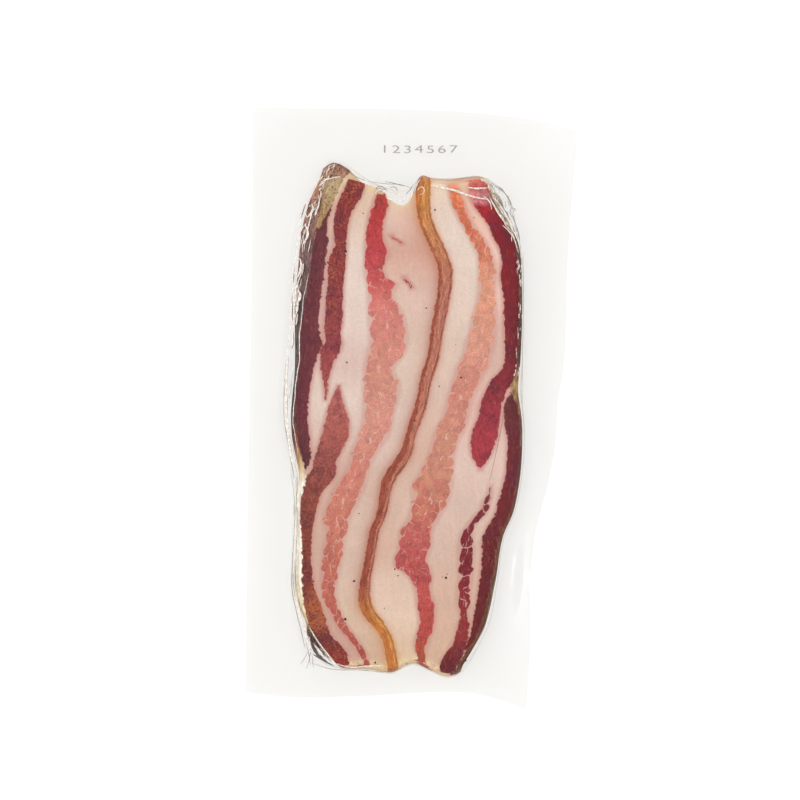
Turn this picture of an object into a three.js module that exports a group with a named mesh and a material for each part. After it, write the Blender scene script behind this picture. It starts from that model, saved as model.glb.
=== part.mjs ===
// A vacuum pouch of sliced streaky bacon, lying flat with its shown side up.
// Two piles of long slices lie side by side with their rinds meeting in the middle. Clear film
// is drawn down tight over them and sealed all round, so the pouch is one closed form: a raised
// pile, whose slices show as steps down its left side, inside a thin wavy border of sealed film.
// Millimetres, +Z up, +Y towards the end with the wide border. The origin is on the floor under
// the middle of the pouch.
import * as THREE from "three";

// Driving sizes
const PACK_WIDTH = 153;
const PACK_LENGTH = 277;
const PILE_HEIGHT = 10;
const SEAL_HEIGHT = 2.5; // where the upper and the lower film meet at the foot of the pile
const FILM_THICKNESS = 0.4; // both films of the sealed border together
const SIDE_STEPS = 4; // slices whose edges show above the seal, down the left side

const RIND_RIDGE = 0.7;
const RIND_GROOVE = 0.6;
const FAT_SWELL = 0.4; // fat stands a little proud of the lean
const LEAN_DIP = 0.4;
const SHOULDER_DROP = 0.5;

const RIGHT = PACK_WIDTH / 2;
const LEFT = -RIGHT;
const TOP = PACK_LENGTH / 2;
const BOTTOM = -TOP;

// A smooth line through [place, value] pairs in rising order of place, level past its ends.
function through(...pairs) {
  const places = pairs.map(([place]) => place);
  const values = pairs.map(([, value]) => value);
  const line = new THREE.CubicInterpolant(places, values, 1);
  return (place) => line.evaluate(place)[0];
}

const smooth = (low, high, value) => THREE.MathUtils.smoothstep(value, low, high);

// Lines that run along the pouch, each as x at y, from left to right.
const borderLeft = through([-131, LEFT], [-24, -75], [54, -73.6], [TOP, -73]);
const footLeft = through(
  [-118, -48], [-112, -50.5], [-100, -53.5], [-85, -57], [-60, -55.5], [-32, -54.8], [-12, -58.5],
  [0, -59.5], [30, -57], [60, -55], [84, -52], [96, -48], [105, -43.5], [112, -41],
);
const shoulderLeft = through(
  [-117, -36], [-108, -42], [-98, -48], [-60, -50.8], [-30, -50], [-12, -53], [0, -53.4],
  [20, -51], [40, -50], [60, -46.8], [85, -43], [105, -37],
);
const outerLeanLeft = through(
  [-117, -30], [-105, -37.5], [-90, -42], [-60, -46.5], [-45, -44], [-25, -35], [-10, -29],
  [0, -30.5], [15, -36], [30, -32.5], [75, -30.3], [90, -28], [104, -22.5],
);
const streakLeftStart = through(
  [-117, -22.5], [-98, -35], [-88, -40], [-54, -40], [-42, -37.5], [-15, -25], [0, -21.8],
  [40, -19.4], [80, -20.5], [98, -16.5],
);
const streakLeftEnd = through(
  [-117, -19], [-104, -26.5], [-92, -33], [-80, -34.5], [-60, -31], [-15, -11], [0, -8.5],
  [30, -3.5], [40, -3.5], [50, -8], [63, -12.5], [98, -12],
);
const rindMiddle = through(
  [-119, -9], [-108, -10.3], [-100, -15], [-90, -22], [-70, -19.5], [-50, -14], [-30, -10.5],
  [-20, -2.2], [-8, 0.2], [10, 6.3], [45, 14], [60, 16.8], [70, 14.8], [85, 7.8], [104, 5.5],
);
const rindHalfWidth = through([-119, 2.6], [-60, 2.1], [-28, 1.3], [0, 1.8], [60, 2.2], [85, 1.8], [104, 3]);
const streakRightStart = through(
  [-116, 4], [-103, 2], [-88, 3], [-76, -3], [-60, -5.5], [-45, 0], [-15, 10], [0, 16],
  [30, 25.5], [45, 29.5], [60, 31.5], [70, 30.5], [84, 24], [100, 18],
);
const streakRightEnd = through(
  [-116, 7], [-104, 9.5], [-90, 10.5], [-70, 7.5], [-55, 10], [-43, 17], [-15, 21.5],
  [0, 26.5], [30, 38], [60, 38.5], [77, 34], [90, 25.5], [100, 22],
);
const outerLeanRight = through(
  [-119, 14], [-95, 22.5], [-60, 23.5], [-45, 32.5], [-36, 35], [-15, 27.5], [0, 31.5],
  [25, 43], [70, 42.5], [87, 35.5], [100, 27.5],
);
const shoulderRight = through(
  [-119, 21], [-105, 30], [-80, 37], [-58, 41], [-48, 45.5], [-18, 50], [0, 49.5], [8, 47.8],
  [20, 48.8], [72, 50], [90, 45], [97, 40], [104, 35.5],
);
const footRight = through(
  [-121, 25], [-112, 30], [-100, 36], [-80, 40], [-60, 43], [-48, 48], [-30, 51.5], [-10, 52.5],
  [8, 50.8], [20, 51.5], [50, 52.5], [78, 52.5], [90, 49], [106, 38],
);
const borderRight = through(
  [BOTTOM, 53], [-112, 54.7], [-80, 54.6], [-57, 57.2], [-36, 62.8], [-19, 66.2], [5, 68],
  [17, 70.1], [67, 72.2], [127.5, RIGHT],
);

// Lines that run across the pouch, each as y at x, from the near end to the far one.
const borderNear = through(
  [LEFT, -131], [-54, -133.4], [-20, -132.7], [12, -130.8], [30, -131.6], [53, BOTTOM],
);
const footNear = through(
  [-50, -110], [-42, -117], [-31, -120.5], [-20, -121], [-9, -122.5], [1, -118.5], [9, -121.5],
  [17, -124.5], [24, -121.5], [32, -112],
);
const shoulderNear = through(
  [-46, -106], [-37, -115], [-19, -117], [-10, -118], [2, -114], [14, -119.5], [20, -119], [29, -108],
);
const shoulderFar = through(
  [-38, 106], [-22, 103], [-12, 98.5], [-8, 94], [-1, 93.5], [2, 100], [5, 104], [10, 102.5],
  [20, 101.5], [33, 103.5], [38, 99],
);
const footFar = through(
  [-42, 110], [-36, 114.5], [-29, 111.5], [-20, 105.5], [-10, 101.5], [-1, 101.5], [5, 108.5],
  [15, 106.5], [30, 108], [38, 104.5],
);
const borderFar = through([-73, TOP], [28, 136.2], [53, 133], [RIGHT, 127.5]);

// Bands between neighbouring lines: how many cells cross each, and how its middle stands.
const bandsAcross = [
  { from: borderLeft, cells: 4 },
  { from: footLeft, cells: 2 * SIDE_STEPS, side: "steps" },
  { from: shoulderLeft, cells: 2, swell: -LEAN_DIP },
  { from: outerLeanLeft, cells: 2, swell: FAT_SWELL },
  { from: streakLeftStart, cells: 3, swell: -LEAN_DIP },
  { from: streakLeftEnd, cells: 3, swell: FAT_SWELL },
  { from: (y) => rindMiddle(y) - rindHalfWidth(y), cells: 2, swell: RIND_RIDGE + RIND_GROOVE },
  { from: (y) => rindMiddle(y) + rindHalfWidth(y), cells: 3, swell: FAT_SWELL },
  { from: streakRightStart, cells: 3, swell: -LEAN_DIP },
  { from: streakRightEnd, cells: 2, swell: FAT_SWELL },
  { from: outerLeanRight, cells: 3, swell: -LEAN_DIP },
  { from: shoulderRight, cells: 3, side: "round" },
  { from: footRight, cells: 4 },
  { from: borderRight },
];
const bandsAlong = [
  { from: borderNear, cells: 3 },
  { from: footNear, cells: 2 },
  { from: shoulderNear, cells: 62 },
  { from: shoulderFar, cells: 2 },
  { from: footFar, cells: 4 },
  { from: borderFar },
];

// Grid lines across one direction: the band that each starts in, and how far through it.
function gridLines(bands) {
  const lines = [];
  bands.forEach(({ cells }, band) => {
    for (let cell = 0; cell < cells; cell++) {
      lines.push({ band, share: cell / cells });
    }
  });
  const last = bands.length - 2;
  lines.push({ band: last, share: 1 });
  return lines;
}

const columns = gridLines(bandsAcross);
const rows = gridLines(bandsAlong);

const LEFT_SIDE = 1;
const RIGHT_SIDE = 11;
const NEAR_SIDE = 1;
const FAR_SIDE = 3;
const RIND_BAND = 6;

// How far the edge of each slice reaches out across the stepped side: a short riser, then a tread.
const RISER_SHARE = 0.4;
function stepReach(share) {
  const steps = share * SIDE_STEPS;
  const whole = Math.floor(steps + 1e-6);
  return steps - whole < 0.25 ? whole / SIDE_STEPS : (whole + RISER_SHARE) / SIDE_STEPS;
}

// The height of the stepped side, from 0 at the seal to 1 at the shoulder.
const stepRise = (share) => Math.ceil(share * SIDE_STEPS - 1e-6) / SIDE_STEPS;

// Slices don't lie quite square on each other, so each step wanders a little along the pile.
const WANDER = 0.7;
function wander(share, y) {
  const slice = Math.ceil(share * SIDE_STEPS - 1e-6);
  return WANDER * Math.sin(Math.PI * share) * Math.sin(y / (9 + 2 * slice) + 1.7 * slice);
}

// The plan position of a grid point: x follows the lines along, and y the lines across.
const SETTLE_STEPS = 8;
function place(column, row) {
  let [x, y] = [0, 0];
  const reach = column.band === LEFT_SIDE ? stepReach(column.share) : column.share;
  for (let step = 0; step < SETTLE_STEPS; step++) {
    x = THREE.MathUtils.lerp(
      bandsAcross[column.band].from(y),
      bandsAcross[column.band + 1].from(y),
      reach,
    );
    y = THREE.MathUtils.lerp(
      bandsAlong[row.band].from(x),
      bandsAlong[row.band + 1].from(x),
      row.share,
    );
  }
  if (column.band === LEFT_SIDE) x += wander(column.share, y);
  return [x, y];
}

// Waves of the stiff film border: where each swell is, how high it lifts and how far it reaches.
const WAVES = [
  { x: 60, y: -85, rise: 11, reachX: 14, reachY: 42 },
  { x: 80, y: 132, rise: 9, reachX: 24, reachY: 26 },
  { x: 14, y: -136, rise: 4, reachX: 20, reachY: 9 },
  { x: -80, y: 140, rise: 2.5, reachX: 26, reachY: 20 },
  { x: -82, y: -60, rise: 2, reachX: 14, reachY: 34 },
  { x: 80, y: 30, rise: 2, reachX: 12, reachY: 30 },
];
const DROOP = 1.1;
const BORDER_EASE = 14; // how far from the seal the waves come in

// The upper face of the sealed border, which starts level at the foot of the pile.
function borderHeight(x, y) {
  const outX = Math.max(0, footLeft(y) - x, x - footRight(y));
  const outY = Math.max(0, footNear(x) - y, y - footFar(x));
  let lift = -DROOP;
  for (const wave of WAVES) {
    const awayX = (x - wave.x) / wave.reachX;
    const awayY = (y - wave.y) / wave.reachY;
    lift += wave.rise * Math.exp(-(awayX * awayX + awayY * awayY));
  }
  return SEAL_HEIGHT + lift * smooth(0, BORDER_EASE, Math.hypot(outX, outY));
}

// The pile's upper face: level in the middle, a little thinner at the ends, softly uneven.
const END_THINNING = 1.2;
const UNEVENNESS = 0.35;
function pileHeight(column, x, y) {
  const thin = END_THINNING * Math.pow(Math.abs(y) / -BOTTOM, 3);
  const uneven = UNEVENNESS * Math.sin(x / 17 + y / 41) * Math.cos(y / 23 - x / 60);
  const { swell = 0 } = bandsAcross[column.band];
  const besideRind = column.share === 0 && (column.band === RIND_BAND || column.band === RIND_BAND + 1);
  const atShoulder =
    column.band <= LEFT_SIDE || column.band >= RIGHT_SIDE || (column.band === LEFT_SIDE + 1 && column.share === 0);
  const base = (besideRind || column.band === RIND_BAND ? -RIND_GROOVE : 0) - (atShoulder ? SHOULDER_DROP : 0);
  return PILE_HEIGHT - thin + uneven + base + swell * Math.sin(Math.PI * column.share);
}

// How much of the pile's height a point has, from 0 on the border to 1 on the upper face.
const quarterRound = (share) => Math.sqrt(1 - (1 - share) * (1 - share));
function riseAcross({ band, share }) {
  if (band < LEFT_SIDE || band > RIGHT_SIDE) return 0;
  if (band === LEFT_SIDE) return stepRise(share);
  return band === RIGHT_SIDE ? quarterRound(1 - share) : 1;
}
const TENT = 0.75; // film slopes off the ends of the slices more gently than off their sides
function riseAlong({ band, share }) {
  if (band < NEAR_SIDE || band > FAR_SIDE) return 0;
  if (band === NEAR_SIDE) return Math.pow(share, TENT);
  return band === FAR_SIDE ? Math.pow(1 - share, TENT) : 1;
}

// The bed is the flat part that rests on the floor, inside a narrow turned-up rim.
const BED_COLUMNS = [4 + 2, columns.length - 1 - 4 - 1];
const BED_ROWS = [3 + 2, rows.length - 1 - 4 - 2];
const RIM_CURVE = 1.6;
function lowerHeight(i, j, x, y) {
  const outside = Math.max(
    (BED_COLUMNS[0] - i) / 2,
    (i - BED_COLUMNS[1]) / 1,
    (BED_ROWS[0] - j) / 2,
    (j - BED_ROWS[1]) / 2,
    0,
  );
  const seal = borderHeight(x, y) - FILM_THICKNESS;
  return seal * Math.pow(Math.min(outside, 1), RIM_CURVE);
}

const COLUMN_POINTS = columns.length;
const ROW_POINTS = rows.length;
const positions = [];
const upper = (i, j) => j * COLUMN_POINTS + i;
const lower = (i, j) => upper(i, j) + COLUMN_POINTS * ROW_POINTS;

const plan = rows.flatMap((row) => columns.map((column) => place(column, row)));

rows.forEach((row, j) => {
  columns.forEach((column, i) => {
    const [x, y] = plan[upper(i, j)];
    const border = borderHeight(x, y);
    const rise = riseAcross(column) * riseAlong(row);
    positions.push(x, y, border + (pileHeight(column, x, y) - border) * rise);
  });
});
rows.forEach((row, j) => {
  columns.forEach((column, i) => {
    const [x, y] = plan[upper(i, j)];
    positions.push(x, y, lowerHeight(i, j, x, y));
  });
});

const triangles = [];
const quad = (a, b, c, d) => triangles.push(a, b, c, a, c, d);
const inBed = (i, j) => i >= BED_COLUMNS[0] && i < BED_COLUMNS[1] && j >= BED_ROWS[0] && j < BED_ROWS[1];

for (let j = 0; j < ROW_POINTS - 1; j++) {
  for (let i = 0; i < COLUMN_POINTS - 1; i++) {
    quad(upper(i, j), upper(i + 1, j), upper(i + 1, j + 1), upper(i, j + 1));
    if (!inBed(i, j)) quad(lower(i, j), lower(i, j + 1), lower(i + 1, j + 1), lower(i + 1, j));
  }
}

// Grid points round a rectangle of the grid, counter-clockwise from its near left corner.
function loopRound([left, right], [near, far]) {
  const loop = [];
  for (let i = left; i < right; i++) loop.push([i, near]);
  for (let j = near; j < far; j++) loop.push([right, j]);
  for (let i = right; i > left; i--) loop.push([i, far]);
  for (let j = far; j > near; j--) loop.push([left, j]);
  return loop;
}

const borderLoop = loopRound([0, COLUMN_POINTS - 1], [0, ROW_POINTS - 1]);
borderLoop.forEach(([i, j], n) => {
  const [nextI, nextJ] = borderLoop[(n + 1) % borderLoop.length];
  quad(lower(i, j), lower(nextI, nextJ), upper(nextI, nextJ), upper(i, j));
});

// The bed is flat, so one triangulated outline covers it.
const bedLoop = loopRound(BED_COLUMNS, BED_ROWS);
const bedOutline = bedLoop.map(([i, j]) => new THREE.Vector2(...plan[upper(i, j)]));
for (const [a, b, c] of THREE.ShapeUtils.triangulateShape(bedOutline, [])) {
  triangles.push(...[a, c, b].map((n) => lower(...bedLoop[n])));
}

const pouchForm = new THREE.BufferGeometry();
pouchForm.setAttribute("position", new THREE.Float32BufferAttribute(positions, 3));
pouchForm.setIndex(triangles);

const pouch = new THREE.Mesh(
  pouchForm,
  new THREE.MeshStandardMaterial({ color: 0xcf958c, roughness: 0.3, metalness: 0 }),
);
pouch.name = "vacuum_pouch";

const part = new THREE.Group();
part.add(pouch);
export default part;
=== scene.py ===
"""A clear vacuum pouch of sliced streaky bacon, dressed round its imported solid."""

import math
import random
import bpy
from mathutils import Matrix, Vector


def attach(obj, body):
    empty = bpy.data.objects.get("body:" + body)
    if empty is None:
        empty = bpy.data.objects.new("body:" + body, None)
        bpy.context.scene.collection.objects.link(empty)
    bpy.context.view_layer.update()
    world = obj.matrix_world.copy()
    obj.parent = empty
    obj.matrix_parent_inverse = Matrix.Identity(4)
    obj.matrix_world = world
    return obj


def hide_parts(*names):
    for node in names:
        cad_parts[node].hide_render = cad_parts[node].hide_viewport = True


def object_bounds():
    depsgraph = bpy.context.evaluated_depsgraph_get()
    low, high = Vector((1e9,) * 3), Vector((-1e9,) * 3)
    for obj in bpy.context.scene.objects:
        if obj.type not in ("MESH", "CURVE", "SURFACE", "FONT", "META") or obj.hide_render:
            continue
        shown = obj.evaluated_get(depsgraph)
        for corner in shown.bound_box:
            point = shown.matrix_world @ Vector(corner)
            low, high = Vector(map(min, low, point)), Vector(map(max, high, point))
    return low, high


bl_info = {
    "name": "Streaky Bacon Pouch",
    "version": (1, 0, 0),
    "blender": (4, 5, 0),
    "location": "View3D > Sidebar > Bacon",
    "description": "Models two piles of marbled bacon slices and the clear film drawn down over them",
    "category": "Add Mesh",
}

import bpy
import numpy as np
from mathutils import Matrix, Vector, noise
from mathutils.bvhtree import BVHTree

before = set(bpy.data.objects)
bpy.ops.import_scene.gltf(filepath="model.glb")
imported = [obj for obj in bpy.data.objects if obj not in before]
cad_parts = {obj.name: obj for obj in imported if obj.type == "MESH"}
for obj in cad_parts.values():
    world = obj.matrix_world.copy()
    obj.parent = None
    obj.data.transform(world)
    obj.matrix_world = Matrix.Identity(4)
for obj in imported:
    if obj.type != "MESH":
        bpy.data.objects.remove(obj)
CAD_LOW, CAD_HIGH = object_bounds()

MM = 0.001
BODY = "root"
SOLID = "vacuum_pouch"

# The form of the pouch, in millimetres. Lines along it give x at y, and lines across it y at x.
RIGHT = (CAD_HIGH.x - CAD_LOW.x) / 2 / MM
TOP = (CAD_HIGH.y - CAD_LOW.y) / 2 / MM
LEFT, BOTTOM = -RIGHT, -TOP
PILE_HEIGHT = 10.0
SEAL_HEIGHT = 2.5


def through(*pairs):
    """A smooth line through (place, value) pairs in rising order of place, level past its ends."""
    places = np.array([place for place, _ in pairs], float)
    values = np.array([value for _, value in pairs], float)
    secants = np.diff(values) / np.diff(places)
    slopes = np.concatenate(([secants[0]], (secants[:-1] + secants[1:]) / 2, [secants[-1]]))

    def line(at):
        at = np.clip(np.asarray(at, float), places[0], places[-1])
        i = np.clip(np.searchsorted(places, at, side="right") - 1, 0, len(places) - 2)
        gap = places[i + 1] - places[i]
        t = (at - places[i]) / gap
        start = (1 + 2 * t) * (1 - t) ** 2 * values[i] + t * (1 - t) ** 2 * gap * slopes[i]
        end = t * t * (3 - 2 * t) * values[i + 1] - t * t * (1 - t) * gap * slopes[i + 1]
        return start + end

    return line


border_left = through((-131, LEFT), (-24, -75), (54, -73.6), (TOP, -73))
foot_left = through(
    (-118, -45), (-112, -48.2), (-104, -50.2), (-95, -52.8), (-85, -54.6), (-60, -54.8), (-32, -54.6),
    (-12, -58.5), (0, -59.5), (30, -57), (60, -55), (84, -52), (96, -48), (105, -43.5), (112, -41),
)
shoulder_left = through(
    (-117, -36), (-108, -42), (-98, -48), (-60, -50.8), (-30, -50), (-12, -53), (0, -53.4),
    (20, -51), (40, -50), (60, -46.8), (85, -43), (105, -37),
)
rind_middle = through(
    (-119, -8.3), (-112, -9.3), (-104, -11.8), (-98, -16.2), (-92, -20.3), (-86, -21.3), (-80, -21),
    (-70, -19.1), (-62, -17.8), (-56, -16.6), (-50, -14), (-44, -12.5), (-38, -11.6), (-32, -9.6),
    (-26, -5.6), (-20, -2), (-14, -0.6), (-8, 1.3), (-2, 3.5), (4, 5.2), (10, 6.4), (16, 7.9),
    (22, 10), (34, 11.8), (46, 14.1), (52, 15.1), (60, 15.8), (65, 15.5), (70, 13.9), (76, 11.2),
    (82, 8.3), (88, 6.2), (94, 5.5), (100, 5.6), (106, 5.6),
)
rind_half_width = through(
    (-119, 2.5), (-104, 2.5), (-98, 3.2), (-92, 3.1), (-86, 2.6), (-38, 2.6), (-32, 3), (-26, 3.4),
    (-20, 2.8), (-14, 2.4), (-2, 2.7), (10, 2.5), (16, 2.8), (28, 2.7), (40, 2.9), (58, 3.1),
    (70, 3.2), (82, 3.3), (90, 3.1), (106, 3.5),
)
shoulder_right = through(
    (-119, 21), (-105, 30), (-80, 37), (-58, 41), (-48, 45.5), (-18, 50), (0, 49.5), (8, 47.8),
    (20, 48.8), (60, 49.8), (72, 49.4), (78, 47.5), (84, 43.6), (90, 39.6), (96, 37), (104, 34.8),
)
foot_right = through(
    (-121, 25), (-112, 30), (-100, 36), (-80, 40), (-60, 43), (-48, 48), (-30, 51.5), (-10, 52.5),
    (8, 50.8), (20, 51.4), (50, 51.9), (66, 51.4), (74, 50.6), (80, 49.6), (86, 47.8), (92, 46.2),
    (98, 44.2), (102, 41), (106, 37),
)
border_right = through(
    (BOTTOM, 53), (-112, 54.7), (-80, 54.6), (-57, 57.2), (-36, 62.8), (-19, 66.2), (5, 68),
    (17, 70.1), (67, 72.2), (127.5, RIGHT),
)
border_near = through(
    (LEFT, -131), (-54, -133.4), (-20, -132.7), (12, -130.8), (30, -131.6), (53, BOTTOM)
)
foot_near = through(
    (-50, -110), (-42, -117), (-31, -120.5), (-20, -121), (-9, -122.5), (1, -118.5), (9, -121.5),
    (17, -124.5), (24, -121.5), (32, -112),
)
shoulder_near = through(
    (-46, -106), (-37, -115), (-19, -117), (-10, -118), (2, -114), (14, -119.5), (20, -119), (29, -108),
)
shoulder_far = through(
    (-38, 106), (-22, 103), (-12, 98.5), (-8.5, 94), (-1.5, 93.4), (1.5, 99), (5, 104), (10, 102.5),
    (20, 101.5), (33, 103.5), (38, 99),
)
foot_far = through(
    (-42, 110), (-36, 114.5), (-29, 111.5), (-20, 105.5), (-10, 101.2), (-1, 101), (5, 107.2),
    (9, 106.2), (15, 105.8), (24, 106.2), (31, 107), (35, 105.6), (39, 102.4),
)
border_far = through((-73, TOP), (28, 136.2), (53, 133), (RIGHT, 127.5))

# Waves of the stiff film border: middle x and y, height, and reach in x and in y.
BORDER_WAVES = (
    (60, -85, 11, 14, 42),
    (80, 132, 9, 24, 26),
    (14, -136, 4, 20, 9),
    (-80, 140, 2.5, 26, 20),
    (-82, -60, 2, 14, 34),
    (80, 30, 2, 12, 30),
)
BORDER_DROOP = 1.1
BORDER_EASE = 14


def tones_along(*stations):
    """A colour at each y, from (y, colour) stations."""
    stations = sorted(stations)
    places = [y for y, _ in stations]
    channels = np.array([painted(*colour)[:3] for _, colour in stations]).T

    def tone(y):
        return np.stack([np.interp(y, places, channel) for channel in channels], axis=-1)

    return tone


def ease(low, high, value):
    """0 below low, 1 above high, and smooth between."""
    t = np.clip((value - low) / (high - low), 0, 1)
    return t * t * (3 - 2 * t)


def outside_foot(x, y):
    """How far a point of the border is from the foot of the pile."""
    out_x = np.maximum(0, np.maximum(foot_left(y) - x, x - foot_right(y)))
    out_y = np.maximum(0, np.maximum(foot_near(x) - y, y - foot_far(x)))
    return np.hypot(out_x, out_y)


def border_height(x, y):
    """The upper face of the sealed border."""
    lift = -BORDER_DROOP
    for wave_x, wave_y, rise, reach_x, reach_y in BORDER_WAVES:
        lift = lift + rise * np.exp(-(((x - wave_x) / reach_x) ** 2) - ((y - wave_y) / reach_y) ** 2)
    return SEAL_HEIGHT + lift * ease(0, BORDER_EASE, outside_foot(x, y))


class Streak:
    """A band of lean: (y, left, right) stations, with (y, colour) stations for its tone.

    Bundled gives (y, share) stations: 0 is plain long fibre and 1 is bundles with fat between.
    Flecked gives (y, share) stations for its golden or brown patches.
    """

    def __init__(self, stations, tones, bundled=((0, 0.0),), flecked=((0, 0.0),)):
        rising = sorted(stations)
        self.left = through(*[(y, left) for y, left, _ in rising])
        self.right = through(*[(y, right) for y, _, right in rising])
        self.near, self.far = rising[0][0], rising[-1][0]
        self.tone = tones_along(*tones)
        self.bundles = sorted(bundled)
        self.flecks = sorted(flecked)

    def depth(self, x, y):
        """Millimetres inside the streak's edge, negative outside it."""
        across = np.minimum(x - self.left(y), self.right(y) - x)
        return np.minimum(across, np.minimum(y - self.near, self.far - y))

    def across(self, x, y):
        """-1 at the left edge, 0 in the middle, 1 at the right edge."""
        left, right = self.left(y), self.right(y)
        return (2 * x - left - right) / np.maximum(right - left, 0.2)

    def middle(self, y):
        return (self.left(y) + self.right(y)) / 2

    def bundled(self, y):
        return np.interp(y, *zip(*self.bundles))

    def flecked(self, y):
        return np.interp(y, *zip(*self.flecks))


def painted(red, green, blue):
    """A scene-linear colour from the 0 to 255 values that a screen shows."""
    def channel(value):
        value /= 255
        return value / 12.92 if value <= 0.04045 else ((value + 0.055) / 1.055) ** 2.4

    return (channel(red), channel(green), channel(blue), 1.0)


# Lean streaks of the left pile, from its outer side to the rind.
LEFT_STREAKS = (
    Streak(
        (
            (94, -37, -36), (90, -41, -37), (85, -44, -38.3), (75, -48, -38.4), (65, -50, -39.7),
            (50, -54, -41.4), (40, -56, -42.6), (33, -57, -41.8), (29, -57, -41), (24, -58, -43),
            (15, -60, -45.5), (5, -62, -47), (-5, -62, -47.5), (-15, -60, -46.5), (-25, -56, -46.5),
            (-29.5, -51, -49.5),
        ),
        ((90, (108, 46, 54)), (50, (110, 44, 54)), (0, (112, 42, 54)), (-25, (94, 38, 44))),
        flecked=((0, 0.15),),
    ),
    Streak(
        (
            (107, -28, -22), (102, -30, -21.3), (95, -33.2, -24.2), (90, -34.7, -27.2),
            (80, -35.5, -29.5), (75, -35.2, -29.8), (70, -37.1, -29.9), (60, -38.2, -31),
            (50, -38.9, -31.5), (38, -39.8, -31.8), (34, -39.8, -32.7), (30, -39.5, -31.7),
            (27, -41.5, -32.3), (22, -41.5, -35), (17, -41.3, -37), (13, -40.3, -38),
            (8, -39.9, -38.4), (4, -39.4, -39),
        ),
        (
            (104, (130, 38, 42)), (90, (134, 44, 46)), (60, (134, 46, 54)), (28, (148, 58, 70)),
            (8, (168, 80, 78)),
        ),
        flecked=((100, 0.9), (90, 0.4), (60, 0.8), (20, 0.4)),
    ),
    Streak(
        (
            (10, -33.6, -33), (7, -35.2, -32.2), (3, -36.8, -31.2), (-1, -38.3, -30),
            (-5, -39.2, -28.8), (-12, -41, -28.8), (-18, -42.6, -31), (-24, -44.8, -34.2),
            (-30, -46.4, -34.6), (-34, -53, -36.6), (-38, -56, -40.6), (-45, -56, -42.9),
            (-52, -56, -44.7), (-60, -57, -45.6), (-68, -57, -46), (-79, -57, -45),
            (-86, -57, -43.2), (-92, -56, -41), (-100, -55, -38.3), (-105, -53, -36.4),
            (-110, -50, -31.4), (-114, -48, -29.2), (-122, -46, -28.5),
        ),
        (
            (8, (188, 102, 98)), (-10, (174, 92, 86)), (-28, (146, 72, 68)), (-45, (138, 62, 54)),
            (-60, (130, 52, 44)), (-80, (132, 48, 40)), (-90, (158, 78, 46)), (-99, (164, 82, 48)),
            (-105, (112, 36, 40)), (-111, (128, 42, 40)), (-118, (140, 34, 34)),
        ),
        flecked=(
            (0, 0.35), (-30, 0.5), (-60, 0.6), (-84, 0.8), (-90, 1.8), (-100, 1.8), (-105, 0.3),
            (-111, 0.8),
        ),
    ),
    Streak(
        (
            (98.5, -15.5, -12), (94, -17.2, -10.5), (88, -19.2, -12), (80, -20.5, -13),
            (70, -21, -11), (64, -21, -13), (60, -20.7, -11), (57, -20, -6.8), (52, -19.6, -8.5),
            (44, -19.4, -4.5), (37, -19, -2.5), (32, -18.7, -2), (25, -20, -3.3), (18, -21.3, -8),
            (11, -21.7, -5.5), (5, -21.8, -6), (-5, -22, -8.8), (-13, -24, -10.5),
            (-20, -27, -15.5), (-28, -29.3, -19.5), (-35, -34, -21.3), (-42, -37.3, -24),
            (-50, -40, -28), (-57, -38.8, -29.8), (-65, -40, -31.2), (-75, -41, -33.2),
            (-85, -41, -35), (-92, -38, -33.3), (-98, -35, -30.5), (-104, -31, -26.5),
            (-112, -24.5, -21), (-122, -21.5, -18),
        ),
        (
            (98, (180, 62, 52)), (88, (184, 52, 56)), (70, (192, 66, 74)), (58, (200, 86, 86)),
            (45, (212, 124, 118)), (20, (210, 138, 126)), (-5, (214, 145, 132)),
            (-30, (206, 126, 112)), (-70, (194, 108, 92)), (-107, (184, 88, 76)),
        ),
        bundled=((90, 0.2), (68, 0.3), (55, 1), (-60, 1), (-85, 0.7), (-110, 0.55)),
        flecked=((60, 0.1), (40, 0.35), (5, 0.6), (-15, 0.35), (-40, 0.4), (-80, 0.1)),
    ),
)
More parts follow.
